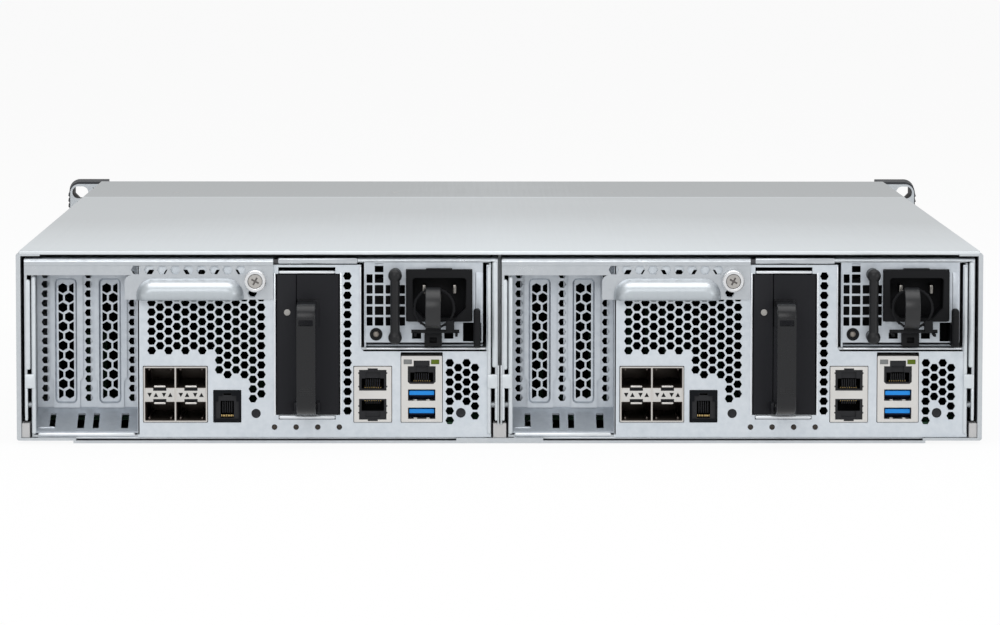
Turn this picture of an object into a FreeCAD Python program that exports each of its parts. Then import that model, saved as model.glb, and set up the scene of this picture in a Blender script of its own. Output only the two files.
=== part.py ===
import FreeCAD, Part
import math
import os
from FreeCAD import Vector

# Rack storage unit with two hot-swap controllers behind 24 small drive trays.
# Millimetres. X runs to the right as seen from the rear, Y from the rear to the drive side, Z up.
# Pieces are drawn with Y = 0 on the rear edge of the floor. The exported origin is the middle of
# the floor's underside, so every piece moves back by half of the chassis depth at the end.

# Sheet metal and clearances
SHEET = 1.2          # chassis, covers and handle
THIN = 1.0           # controller tray and small brackets
RUN = 0.3            # gap beside a piece that slides or swings
PIN_FIT = 0.05       # radial clearance of a hinge pin
SEAT_FIT = 0.1       # gap round a piece that is pushed into a pocket
PORT_FIT = 0.3       # gap between a connector shell and its cut-out

# Chassis
BODY_DEPTH = 550.0
BODY_HEIGHT = 88.7
HEADROOM = 0.9       # from the handle's top to the flange that carries the lid
HEM_WIDTH = 2.1      # folded rear edge of the side walls
HEM_DEPTH = 8.0
JOGGLE_INSET = 26.0  # width of the raised strip along each side of the floor
FLANGE = 11.0        # inward flange on top of the side walls
LID_INSET = 1.4
DRIVE_ZONE = 152.0   # from the midplane's rear to the front edge
LID_SEAM = 146.2     # from the seam between the covers to the front edge
SEAM_GAP = 0.4
LID_HEM = 3.0
MIDPLANE_THICK = 2.4
MIDPLANE_VENT = 24.0
MIDPLANE_VENTS = 6
CATCH_WIDTH = 4.8
CATCH_DEPTH = 11.0
CATCH_TOP = 9.2
CENTRE_RUNNER = 20.0

# Controller canister, measured from its left edge
ARM_ZONE = 3.4       # space for the handle's arm beside the tray wall
CANISTER_GAP = 1.2
PLUG_GAP = 6.0       # from the tray to the midplane
FLANGE_START = 4.0   # from the slot bay's back to the flanges of the tray's walls
STANDOFF = 6.0
STANDOFF_INSET = 12.0
STANDOFF_REAR = 60.0
STANDOFF_END = 52.0
FIRST_SLOT = 19.9
SLOT_PITCH = 20.32
SLOT_WIDTH = 15.0
SLOT_MARGIN = 11.8
SLOT_RECESS = 18.0
SLOT_FOOT = 15.0
SLOT_SILL = 2.0      # width of the panel's rim round the slot bay
SFP_MARGIN = 2.75
SFP_WIDTH = 29.25
SFP_HEIGHT = 25.6
SFP_DEPTH = 48.0
SFP_WALL = 0.6
SFP_PORT_HEIGHT = 9.0
CONSOLE_MARGIN = 3.0
CONSOLE_WIDTH = 12.35
CONSOLE_HEIGHT = 14.5
POWER_MARGIN = 7.05
POWER_RADIUS = 1.95
POWER_HEIGHT = 13.6
BATTERY_MARGIN = 9.6
BATTERY_WIDTH = 28.6
BATTERY_FLOOR = 13.2
BATTERY_HEIGHT = 64.6
BATTERY_DEPTH = 110.0
COLUMN_MARGIN = 3.9
PSU_MARGIN = 7.7
PSU_WIDTH = 54.5
PSU_FLOOR = 44.3
PSU_DEPTH = 188.0
PSU_EDGE = 3.8
SUPPLY_GAP_LEFT = 1.4    # dark gaps beside the power supply
SUPPLY_GAP_RIGHT = 1.7
LAN_MARGIN = 3.0
LAN_WIDTH = 17.2
LAN_HEIGHT = 25.6
COMBO_MARGIN = 4.5
COMBO_WIDTH = 18.8
COMBO_HEIGHT = 30.5
JACK_DEPTH = 26.0
RESET_OFFSET = 8.6
RESET_RADIUS = 2.05
RESET_HEIGHT = 13.9
BUTTON_TRAVEL = 0.5
BUTTON_FIT = 0.2
BUTTON_SIDES = 12

# Upright row of hexagonal vents
HEX = 1.88           # centre to corner
HEX_PITCH = 4.44
COLUMN_TOP = 77.0

# Pull handle across the back of the canister
PIVOT_Y = 6.0
PIVOT_Z = 17.3
PIVOT_RADIUS = 1.5
LOBE = 7.2
ARM_DEPTH = 9.0
ARM_FLANGE = 2.6     # narrow flange along the rear edge of an arm
ARM_TAB = 4.9
HANDLE_BEND = 3.0
BAR_HEIGHT = 2.7     # plain bar across the battery
THIN_BAR_HEIGHT = 1.5
HANDLE_LOW = 66.3
HANDLE_STEP = 46.4
HANDLE_STEP_Z = 77.5
GRIP_LEFT = 51.7
GRIP_WIDTH = 49.2
GRIP_TOP = 76.0
GRIP_PROUD = 9.0
GRIP_BEVEL = 4.0
SCREW_Z = 75.1
KNOB_RADIUS = 5.15
KNOB_HEIGHT = 6.0
SCREW_RADIUS = 1.5

# Battery lever
LEVER_WIDTH = 8.6
LEVER_THICK = 3.0
LEVER_PROUD = 23.0
LEVER_TOP = 65.8
LEVER_BEND = 9.0
LEVER_PIN = 1.25

# Power supply fittings
GRILLE_HOLE = 3.6
GRILLE_PITCH = 4.9
GRILLE_ROWS = 6
INLET_OFFSET = 19.3
INLET_WIDTH = 30.3
INLET_FLOOR = 56.3
INLET_HEIGHT = 23.9
INLET_PROUD = 3.0
PULL_OFFSET = 14.3
PULL_RADIUS = 2.25
PULL_LEG = 3.15
PULL_LOW = 49.3
PULL_HIGH = 78.2
PULL_PROUD = 10.5
LATCH_WIDTH = 3.2
LATCH_PROUD = 12.0
LATCH_PIN = 1.0
CLIP_Z = 52.3
CLIP_Y = 7.0
CLIP_RING = 9.0
CLIP_RISE = 1.6
CLIP_WIRE = 0.85
CLIP_THICK = 1.4
RING_SIDES = 12
CLIP_WIDTH = 7.0

# Drive side
BAY_PITCH = 18.0
DIVIDER = 0.8
SLED_LOW = 4.2
SLED_HEIGHT = 80.0
SLED_REAR = 408.0
BEZEL_DEPTH = 12.0
DRIVE_THICK = 14.8
DRIVE_LENGTH = 100.0
DRIVE_HEIGHT = 69.85
DRIVE_LEVER_THICK = 7.0
DRIVE_LEVER_WIDTH = 14.4
DRIVE_LEVER_TOP = 66.0
DRIVE_LEVER_PIVOT = 12.0
DRIVE_PIN = 1.0
DRIVE_PIN_Y = 3.5    # from the bezel's face to the lever's pin
SLED_PLATE = 0.8

# Rack ears
RACK_SPACING = 465.1
RACK_RISE = 76.2
RACK_SLOT = 9.0
RACK_HOLE = 3.4
EAR_THICK = 1.5
EAR_EDGE = 5.65      # from a rack screw to the ear's edge
CAP_DEPTH = 28.0
CAP_OVERHANG = 0.6
CAP_DRAFT = 1.9
CAP_HOLE = 5.0       # centre to corner of the way in to a rack screw
RIB = 0.6            # how far a grip rib stands out
RIBS = 3
RIB_PITCH = 3.04

# Board fittings and fans
PLUG = 22.0          # half width of a block that plugs into the midplane
PLUG_DEPTH = 16.0
PLUG_HEIGHT = 14.0
PLUGS = 3
MEMORY_THICK = 2.0
MEMORY_PITCH = 8.0
MEMORY_LENGTH = 134.0
MEMORY_HEIGHT = 31.0
MEMORY_END = 128.0   # from the tray's end
MODULES = 4
SINK_WIDTH = 46.0
SINK_LENGTH = 90.0
SINK_END = 152.0     # from the tray's end
SINK_BASE = 6.0
SINK_HEIGHT = 40.0
FINS = 6
FIN_THICK = 2.0
SWITCH = 3.0         # half width of the block behind a button
SWITCH_DEPTH = 5.0
FAN = 60.0
FAN_THICK = 25.0
FAN_GAP = 4.0
FAN_END = 92.0       # from the tray's end
FAN_HUB = 13.0
FAN_STRUT = 3.0

# Places that follow from the sizes above
MIDPLANE_Y = BODY_DEPTH - DRIVE_ZONE
LID_DEPTH = BODY_DEPTH - LID_SEAM
TRAY_DEPTH = MIDPLANE_Y - PLUG_GAP
EAR_HALF_SPAN = RACK_SPACING / 2 + EAR_EDGE    # the caps reach 3.1 further, for 482.6 over all
FLOOR_TOP = 2 * SHEET
TRAY_Z = FLOOR_TOP + RUN
PANEL_Y = SHEET + RUN
PANEL_BACK = PANEL_Y + THIN
LID_Z = BODY_HEIGHT - SHEET
HANDLE_TOP = LID_Z - SHEET - HEADROOM
COVER_TOP = HANDLE_TOP - SHEET - RUN
COVER_LOW = COVER_TOP - THIN
PANEL_TOP = COVER_LOW - 0.7
SLOT_RIGHT = FIRST_SLOT + SLOT_PITCH + SLOT_MARGIN
SFP_LEFT = SLOT_RIGHT + SFP_MARGIN
CONSOLE_LEFT = SFP_LEFT + SFP_WIDTH + CONSOLE_MARGIN
POWER_X = CONSOLE_LEFT + CONSOLE_WIDTH + POWER_MARGIN
BATTERY_LEFT = POWER_X + BATTERY_MARGIN
BATTERY_RIGHT = BATTERY_LEFT + BATTERY_WIDTH
BATTERY_TOP = BATTERY_FLOOR + BATTERY_HEIGHT
COLUMN_X = BATTERY_RIGHT + COLUMN_MARGIN
PSU_LEFT = COLUMN_X + PSU_MARGIN
PSU_RIGHT = PSU_LEFT + PSU_WIDTH
PSU_TOP = COVER_LOW - RUN
WALL_OUT = PSU_RIGHT + PSU_EDGE
CANISTER_WIDTH = WALL_OUT + ARM_ZONE
LAN_LEFT = COLUMN_X + LAN_MARGIN
COMBO_LEFT = LAN_LEFT + LAN_WIDTH + COMBO_MARGIN
RESET_X = COMBO_LEFT + COMBO_WIDTH + RESET_OFFSET
HANDLE_RIGHT = BATTERY_LEFT - 1.5
SCREW_X = POWER_X
BOARD_TOP = 9.4
BOARD_THICK = 1.6
PORT_Z = BOARD_TOP + RUN
SLOT_Y = PANEL_Y + SLOT_RECESS
BODY_WIDTH = 2 * (CANISTER_WIDTH + CANISTER_GAP / 2 + 1.4 + HEM_WIDTH)
HALF = BODY_WIDTH / 2
CANISTERS = (("a", -CANISTER_WIDTH - CANISTER_GAP / 2), ("b", CANISTER_GAP / 2))
BAYS = int((BODY_WIDTH - 2 * SHEET - 2) // BAY_PITCH)
CAGE_Y = MIDPLANE_Y + MIDPLANE_THICK + RUN
CAGE_LOW = FLOOR_TOP
CAGE_TOP = SLED_LOW + SLED_HEIGHT + RUN
MIDDLE_Z = BODY_HEIGHT / 2

nodes = {}


# Building blocks

def block(x0, x1, y0, y1, z0, z1):
    """A rectangular solid between two opposite corners."""
    return Part.makeBox(x1 - x0, y1 - y0, z1 - z0, Vector(x0, y0, z0))


def bar(radius, start, end):
    """A round bar between two points."""
    a, b = Vector(*start), Vector(*end)
    return Part.makeCylinder(radius, (b - a).Length, a, b - a)


def joined(first, *others):
    """One solid from pieces that touch or overlap."""
    return first.multiFuse(list(others)).removeSplitter()


def outline(points):
    """A closed wire through the points."""
    corners = [Vector(*p) for p in points]
    return Part.makePolygon(corners + corners[:1])


def prism(points, along):
    """The outline through the points, extruded."""
    return Part.Face(outline(points)).extrude(Vector(*along))


def polygon(x, z, y, radius, sides):
    """A regular outline in an upright sheet, with a flat on top."""
    start = math.pi / 2 - math.pi / sides
    angles = [start + 2 * math.pi * k / sides for k in range(sides)]
    return outline([(x + radius * math.cos(a), y, z + radius * math.sin(a)) for a in angles])


def post(x, z, y0, y1, radius, sides):
    """A many-sided bar that lies along Y."""
    return Part.Face(polygon(x, z, y0, radius, sides)).extrude(Vector(0, y1 - y0, 0))


def window(x0, x1, z0, z1, y):
    """A rectangular hole outline in an upright sheet."""
    return outline([(x0, y, z0), (x1, y, z0), (x1, y, z1), (x0, y, z1)])


def upright(outer, holes, thickness):
    """An upright sheet with holes, extruded away from the rear."""
    face = Part.makeFace([outer] + holes, "Part::FaceMakerBullseye")
    return face.extrude(Vector(0, thickness, 0))


def mirrored(shape):
    """The same piece on the other side of the unit."""
    return shape.mirror(Vector(0, 0, 0), Vector(1, 0, 0))


# Chassis: a folded tray with side walls, lid flanges, runners and a centre wall

def chassis_base():
    inner = HALF - JOGGLE_INSET
    floor = block(-inner, inner, 0, BODY_DEPTH, 0, SHEET)
    pieces = [floor]
    for side in (-1, 1):
        x_in, x_out = sorted((side * (inner - SHEET), side * HALF))
        pieces.append(block(x_in, x_out, 0, BODY_DEPTH, SHEET, FLOOR_TOP))
        x_in, x_out = sorted((side * (inner - SHEET), side * inner))
        pieces.append(block(x_in, x_out, 0, BODY_DEPTH, 0, FLOOR_TOP))
        x_in, x_out = sorted((side * (HALF - SHEET), side * HALF))
        pieces.append(block(x_in, x_out, 0, BODY_DEPTH, SHEET, LID_Z))
        x_in, x_out = sorted((side * (HALF - HEM_WIDTH), side * HALF))
        pieces.append(block(x_in, x_out, 0, HEM_DEPTH, FLOOR_TOP, LID_Z - SHEET))
        x_in, x_out = sorted((side * (HALF - FLANGE), side * HALF))
        pieces.append(block(x_in, x_out, 0, BODY_DEPTH, LID_Z - SHEET, LID_Z))
    wall_y = PIVOT_Y + LOBE + 3
    half_wall = CANISTER_GAP / 2
    pieces.append(block(-half_wall, half_wall, wall_y, MIDPLANE_Y - 1, SHEET, LID_Z - SHEET))
    pieces.append(block(-CENTRE_RUNNER, CENTRE_RUNNER, 0, MIDPLANE_Y - 1, SHEET, FLOOR_TOP))
    base = joined(*pieces)
    corners = [e for e in base.Edges if is_long_corner(e)]
    return base.makeFillet(SHEET * 0.9, corners)


def is_long_corner(edge):
    """True for the outer bends that run the whole depth of the side walls."""
    box = edge.BoundBox
    at_wall = abs(abs(box.Center.x) - HALF) < 0.01
    level = abs(box.ZMin - LID_Z) < 0.01 or abs(box.ZMin - SHEET) < 0.01
    return at_wall and level and box.YLength > BODY_DEPTH - 1 and box.ZLength < 0.01


def top_cover():
    half = HALF - LID_INSET
    sheet = block(-half, half, 0, LID_DEPTH, LID_Z, BODY_HEIGHT)
    hem_half = HALF - FLANGE - RUN
    hem = block(-hem_half, hem_half, 0, LID_HEM, LID_Z - SHEET / 2, LID_Z)
    return joined(sheet, hem)


COVER_SCREW_X = (-172.5, -53.4, 64.0, 184.0)
COVER_SCREW_Y = 445.0
COVER_SCREW = 2.1


def cover_stud(x, radius, low, top):
    """A six-sided clinch stud, standing upright."""
    angles = [math.radians(60 * k) for k in range(6)]
    points = [(x + radius * math.cos(a), COVER_SCREW_Y + radius * math.sin(a), low) for a in angles]
    return prism(points, (0, 0, top - low))


def front_cover():
    half = HALF - LID_INSET
    cover = block(-half, half, LID_DEPTH + SEAM_GAP, BODY_DEPTH, LID_Z, BODY_HEIGHT)
    for x in COVER_SCREW_X:
        cover = cover.cut(cover_stud(x, COVER_SCREW + 0.1, LID_Z - 1, BODY_HEIGHT + 1))
    return cover


def cover_screws():
    """Flush studs that stand on the cage and locate the front cover."""
    low, top = CAGE_TOP + THIN, BODY_HEIGHT - 0.1
    return Part.makeCompound([cover_stud(x, COVER_SCREW, low, top) for x in COVER_SCREW_X])


def catch_blocks():
    side_in = HALF - HEM_WIDTH - CATCH_WIDTH + 1.0
    side_out = HALF - SHEET
    left = block(-side_out, -side_in, 0.5, CATCH_DEPTH, FLOOR_TOP, CATCH_TOP)
    left = left.cut(block(-side_out - 1, -HALF + HEM_WIDTH + 0.1, 0, HEM_DEPTH + 0.1, 0, 20))
    right = mirrored(left)
    middle_half = ARM_ZONE + CANISTER_GAP / 2 - 1.0
    middle = block(-middle_half, middle_half, 0.5, CATCH_DEPTH, FLOOR_TOP, CATCH_TOP)
    return Part.makeCompound([left, middle, right])


def midplane_board():
    half = HALF - 8
    top = CAGE_TOP - 1
    vents = []
    for k in range(MIDPLANE_VENTS):
        centre = (k - (MIDPLANE_VENTS - 1) / 2) * (2 * half / (MIDPLANE_VENTS + 0.3))
        sides = (centre - MIDPLANE_VENT, centre + MIDPLANE_VENT)
        vents.append(window(*sides, top - 35.5, top - 5.5, MIDPLANE_Y))
    outer = window(-half, half, FLOOR_TOP + RUN, top, MIDPLANE_Y)
    return upright(outer, vents, MIDPLANE_THICK)


# Drive side: cage, 24 sleds with their levers, and the drives

def bay_centre(number):
    return (number - (BAYS - 1) / 2) * BAY_PITCH


def drive_cage():
    """A bottom and a top plate with a divider between each two bays, riveted together."""
    half = BAYS * BAY_PITCH / 2 + DIVIDER / 2
    low = block(-half, half, CAGE_Y, BODY_DEPTH, CAGE_LOW, CAGE_LOW + THIN)
    high = block(-half, half, CAGE_Y, BODY_DEPTH, CAGE_TOP, CAGE_TOP + THIN)
    plates = [low, high]
    for k in range(BAYS + 1):
        x = (k - BAYS / 2) * BAY_PITCH
        x_in, x_out = x - DIVIDER / 2, x + DIVIDER / 2
        plates.append(block(x_in, x_out, CAGE_Y, BODY_DEPTH, CAGE_LOW + THIN, CAGE_TOP))
    return Part.makeCompound(plates)


SLED_HALF = BAY_PITCH / 2 - DIVIDER / 2 - RUN
SLED_TOP = SLED_LOW + SLED_HEIGHT
BEZEL_Y = BODY_DEPTH + EAR_THICK + 0.5
LEVER_Y = BEZEL_Y + BEZEL_DEPTH
BUTTON_LOW = DRIVE_LEVER_TOP + 2.0
BUTTON_TOP = SLED_TOP - 5.0
BUTTON_HALF = 5.2
DRIVE_BUTTON_TRAVEL = 1.5


def drive_sled():
    """The carrier of the first bay: side plate, two rails and a front bezel with its seats."""
    x0, x1 = -SLED_HALF, SLED_HALF - 0.4
    rail = prism(
        [
            (x0, SLED_REAR, SLED_LOW),
            (x1, SLED_REAR, SLED_LOW),
            (x1, SLED_REAR, SLED_LOW + 2),
            (x0 + SLED_PLATE, SLED_REAR, SLED_LOW + 2),
            (x0 + SLED_PLATE, SLED_REAR, SLED_TOP - 2),
            (x1, SLED_REAR, SLED_TOP - 2),
            (x1, SLED_REAR, SLED_TOP),
            (x0, SLED_REAR, SLED_TOP),
        ],
        (0, BEZEL_Y - SLED_REAR, 0),
    )
    front = LEVER_Y + DRIVE_LEVER_THICK
    bezel = prism(
        [
            (x0, BEZEL_Y, SLED_LOW),
            (x0, front - 1, SLED_LOW),
            (x0, front - 1, DRIVE_LEVER_PIVOT - 5),
            (x0, LEVER_Y, DRIVE_LEVER_PIVOT - 5),
            (x0, LEVER_Y, BUTTON_LOW - 1),
            (x0, front, BUTTON_LOW - 1),
            (x0, front, SLED_TOP),
            (x0, BEZEL_Y, SLED_TOP),
        ],
        (2 * SLED_HALF, 0, 0),
    )
    b_in = BUTTON_HALF + 0.2
    seat = block(-b_in, b_in, LEVER_Y - 6, front + 1, BUTTON_LOW - 0.2, BUTTON_TOP + 0.2)
    ears = []
    for side in (-1, 1):
        x_in, x_out = sorted((side * (DRIVE_LEVER_WIDTH / 2 + 0.2), side * SLED_HALF))
        ears.append(block(x_in, x_out, LEVER_Y - 0.1, front, SLED_LOW, DRIVE_LEVER_PIVOT + 4))
    pin_y = LEVER_Y + DRIVE_PIN_Y
    pin = bar(DRIVE_PIN, (-SLED_HALF, pin_y, DRIVE_LEVER_PIVOT), (SLED_HALF, pin_y, DRIVE_LEVER_PIVOT))
    return joined(rail, bezel).cut(seat).fuse(joined(pin, *ears))


def plain_sled():
    """A carrier that stays in its bay: side plate and bezel in one L-shaped outline."""
    x0, x1 = -SLED_HALF, SLED_HALF
    corners = [
        (x0, SLED_REAR, SLED_LOW),
        (x0 + SLED_PLATE, SLED_REAR, SLED_LOW),
        (x0 + SLED_PLATE, BEZEL_Y, SLED_LOW),
        (x1, BEZEL_Y, SLED_LOW),
        (x1, LEVER_Y, SLED_LOW),
        (x0, LEVER_Y, SLED_LOW),
    ]
    return prism(corners, (0, 0, SLED_HEIGHT))


def lever_profile(back):
    """A flat lever with a bevelled tip, from its foot to its top."""
    half = DRIVE_LEVER_WIDTH / 2
    front = LEVER_Y + DRIVE_LEVER_THICK
    foot_z = DRIVE_LEVER_PIVOT
    corners = [
        (-half, back, foot_z - 2.6),
        (-half, back, DRIVE_LEVER_TOP),
        (-half, front - 3, DRIVE_LEVER_TOP),
        (-half, front, DRIVE_LEVER_TOP - 6),
        (-half, front, foot_z - 2.6),
    ]
    return prism(corners, (2 * half, 0, 0))


def drive_lever():
    """The lever of the first bay, hollow behind, with the bore that turns on the sled's pin."""
    half = DRIVE_LEVER_WIDTH / 2
    foot_z = DRIVE_LEVER_PIVOT
    back = LEVER_Y + RUN
    hollow = block(-half + 2.2, half - 2.2, LEVER_Y, LEVER_Y + 3.2, foot_z + 8, DRIVE_LEVER_TOP - 8)
    heel = block(-half, half, back - 1, back + 1, foot_z - 5, foot_z)
    pin_y = LEVER_Y + DRIVE_PIN_Y
    bore = bar(DRIVE_PIN + PIN_FIT, (-half - 1, pin_y, foot_z), (half + 1, pin_y, foot_z))
    return lever_profile(back).cut(hollow).cut(heel).cut(bore)


def drive_button():
    front = LEVER_Y + DRIVE_LEVER_THICK - 0.6
    rear = LEVER_Y - 6 + DRIVE_BUTTON_TRAVEL + 0.3
    return block(-BUTTON_HALF, BUTTON_HALF, rear, front, BUTTON_LOW, BUTTON_TOP)


def plain_latch():
    """Lever and button of a drive that stays in its bay."""
    button = block(
        -BUTTON_HALF, BUTTON_HALF, LEVER_Y, LEVER_Y + DRIVE_LEVER_THICK - 0.6, BUTTON_LOW, BUTTON_TOP
    )
    return [lever_profile(LEVER_Y), button]


def solid_state_drive():
    x = -SLED_HALF + SLED_PLATE + RUN
    y = SLED_REAR + 4
    z = SLED_LOW + (SLED_HEIGHT - DRIVE_HEIGHT) / 2
    return block(x, x + DRIVE_THICK, y, y + DRIVE_LENGTH, z, z + DRIVE_HEIGHT)


def in_bay(shape, number):
    """A copy of the shape in one drive bay, counted from the left as seen from the rear."""
    copy = shape.copy()
    copy.translate(Vector(bay_centre(number), 0, 0))
    return copy


def drive_side():
    nodes["drive_sled_01"] = in_bay(drive_sled(), 0)
    nodes["drive_lever_01"] = in_bay(drive_lever(), 0)
    nodes["drive_button_01"] = in_bay(drive_button(), 0)
    nodes["solid_state_drive_01"] = in_bay(solid_state_drive(), 0)
    others = range(1, BAYS)
    nodes["drive_sleds_02_24"] = Part.makeCompound([in_bay(plain_sled(), k) for k in others])
    latches = [in_bay(piece, k) for k in others for piece in plain_latch()]
    nodes["drive_latches_02_24"] = Part.makeCompound(latches)
    nodes["solid_state_drives_02_24"] = Part.makeCompound([in_bay(solid_state_drive(), k) for k in others])


# Rack ears and their moulded caps

def rounded_plate(x0, x1, z0, z1, y, radius):
    """An upright outline whose two outer corners are rounded."""
    a = Vector(x0, y, z0)
    b = Vector(x1 - radius, y, z0)
    c = Vector(x1, y, z0 + radius)
    d = Vector(x1, y, z1 - radius)
    e = Vector(x1 - radius, y, z1)
    f = Vector(x0, y, z1)
    k = radius * (1 - math.sqrt(0.5))
    low = Part.Arc(b, Vector(x1 - k, y, z0 + k), c).toShape()
    high = Part.Arc(d, Vector(x1 - k, y, z1 - k), e).toShape()
    lines = [Part.makeLine(p, q) for p, q in ((a, b), (c, d), (e, f), (f, a))]
    return Part.Wire([lines[0], low, lines[1], high, lines[2], lines[3]])


def slot_outline(x, z, y, length, radius):
    """A slot with round ends, lying along X."""
    reach = length / 2 - radius
    left, right = x - reach, x + reach
    top = Part.makeLine(Vector(left, y, z + radius), Vector(right, y, z + radius))
    low = Part.makeLine(Vector(right, y, z - radius), Vector(left, y, z - radius))
    end = Part.Arc(Vector(right, y, z + radius), Vector(right + radius, y, z), Vector(right, y, z - radius))
    start = Part.Arc(Vector(left, y, z - radius), Vector(left - radius, y, z), Vector(left, y, z + radius))
    return Part.Wire([top, end.toShape(), low, start.toShape()])


def rack_ear():
    holes = []
    for side in (-1, 1):
        z = MIDDLE_Z + side * RACK_RISE / 2
        holes.append(slot_outline(RACK_SPACING / 2, z, BODY_DEPTH, RACK_SLOT, RACK_HOLE))
    holes.append(window(HALF + 0.8, HALF + 3.4, MIDDLE_Z + 30, BODY_HEIGHT - 3.6, BODY_DEPTH))
    holes.append(window(HALF + 0.8, HALF + 3.4, 3.6, MIDDLE_Z - 30, BODY_DEPTH))
    outer = rounded_plate(HALF - 4, EAR_HALF_SPAN, 1.6, BODY_HEIGHT - 1.6, BODY_DEPTH, 5.0)
    return upright(outer, holes, EAR_THICK)


def ear_cap():
    rear = BODY_DEPTH + EAR_THICK
    inner = BAYS * BAY_PITCH / 2 + 2.0
    outer = EAR_HALF_SPAN + CAP_OVERHANG
    back = rounded_plate(inner, outer, 0.4, BODY_HEIGHT - 0.4, rear, 6.2)
    front = rounded_plate(inner, outer + CAP_DRAFT, 0.4, BODY_HEIGHT - 0.4, rear + CAP_DEPTH, 6.2)
    cap = Part.makeLoft([back, front], True, True)
    front_y = rear + CAP_DEPTH
    for side in (-1, 1):
        z = MIDDLE_Z + side * RACK_RISE / 2
        cap = cap.cut(post(RACK_SPACING / 2, z, rear - 1, front_y + 1, CAP_HOLE, 8))
    for side in (-1, 1):
        for k in range(RIBS):
            z = MIDDLE_Z + side * (36.0 - RIB_PITCH * k)
            x = outer - 0.4
            tip = x + RIB + 0.4
            base = [(x, rear, z - 0.7), (tip, rear, z), (x, rear, z + 0.7)]
            cap = cap.fuse(prism(base, (CAP_DRAFT, CAP_DEPTH, 0)))
    return cap


# Canister: a folded tray, closed at the rear by one panel with a recessed bay for two slots

def column_vents():
    """One upright row of hexagons between the battery and the power supply."""
    places = []
    z = COLUMN_TOP
    while z > PORT_Z + 4:
        places.append((COLUMN_X, z))
        z -= HEX_PITCH
    return places


def socket(left, width, low, height, y, gap=PORT_FIT):
    """The cut-out for a connector shell."""
    return window(left - gap, left + width + gap, low - gap, low + height + gap, y)


def rear_panel():
    """The upright sheet with a cut-out for each connector, the battery and the power supply."""
    y = PANEL_Y
    bay_left = PSU_LEFT - SUPPLY_GAP_LEFT
    bay_right = PSU_RIGHT + SUPPLY_GAP_RIGHT
    edge = [
        (ARM_ZONE, y, TRAY_Z),
        (WALL_OUT, y, TRAY_Z),
        (WALL_OUT, y, PANEL_TOP),
        (bay_right, y, PANEL_TOP),
        (bay_right, y, PSU_FLOOR - RUN),
        (bay_left, y, PSU_FLOOR - RUN),
        (bay_left, y, PANEL_TOP),
        (SLOT_RIGHT, y, PANEL_TOP),
        (SLOT_RIGHT, y, TRAY_Z + SLOT_SILL),
        (ARM_ZONE + SLOT_SILL, y, TRAY_Z + SLOT_SILL),
        (ARM_ZONE + SLOT_SILL, y, COVER_LOW),
        (ARM_ZONE, y, COVER_LOW),
    ]
    holes = [polygon(x, z, y, HEX, 6) for x, z in column_vents()]
    holes.append(socket(SFP_LEFT, SFP_WIDTH, PORT_Z, SFP_HEIGHT, y))
    holes.append(socket(CONSOLE_LEFT, CONSOLE_WIDTH, PORT_Z, CONSOLE_HEIGHT, y))
    holes.append(socket(BATTERY_LEFT, BATTERY_WIDTH, BATTERY_FLOOR, BATTERY_HEIGHT, y))
    holes.append(window(BATTERY_LEFT + 1, BATTERY_RIGHT - 5, BATTERY_TOP + 1.6, BATTERY_TOP + 3.2, y))
    holes.append(socket(LAN_LEFT, LAN_WIDTH, PORT_Z, LAN_HEIGHT, y))
    holes.append(socket(COMBO_LEFT, COMBO_WIDTH, PORT_Z, COMBO_HEIGHT + 1.4, y))
    holes.append(polygon(POWER_X, POWER_HEIGHT, y, POWER_RADIUS + BUTTON_FIT, BUTTON_SIDES))
    holes.append(polygon(RESET_X, RESET_HEIGHT, y, RESET_RADIUS + BUTTON_FIT, BUTTON_SIDES))
    holes.append(polygon(SCREW_X, SCREW_Z, y, SCREW_RADIUS + 0.9, 6))
    return upright(outline(edge), holes, THIN)


def slot_plate():
    """The rear panel with its slot bay: a side wall, a recessed sheet and a sloping foot."""
    y = SLOT_Y
    left, right = ARM_ZONE + THIN + RUN, SLOT_RIGHT
    holes = []
    for k in range(2):
        x = FIRST_SLOT + k * SLOT_PITCH
        holes.append(window(x - 5.6, x + 5.6, SLOT_FOOT + 6, HANDLE_STEP_Z - 3, y))
    sheet = upright(window(left, right + THIN, SLOT_FOOT - 1, PANEL_TOP, y), holes, THIN)
    side = block(right, right + THIN, PANEL_Y, y + THIN, TRAY_Z + THIN, PANEL_TOP)
    low_y, low_z = PANEL_Y, TRAY_Z + THIN
    foot = prism(
        [
            (left, y, SLOT_FOOT - 1),
            (left, y + THIN, SLOT_FOOT - 1),
            (left, low_y + THIN, low_z),
            (left, low_y, low_z),
            (left, low_y, low_z + THIN),
        ],
        (right - left, 0, 0),
    )
    for k in range(2):
        x = FIRST_SLOT + k * SLOT_PITCH
        for edge in (x - SLOT_WIDTH / 2 + 1.2, x + SLOT_WIDTH / 2 - 1.2):
            foot = foot.cut(block(edge - 1.5, edge + 1.5, low_y + 4, y - 2, low_z, SLOT_FOOT))
    return joined(rear_panel(), side, sheet, foot)


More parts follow.
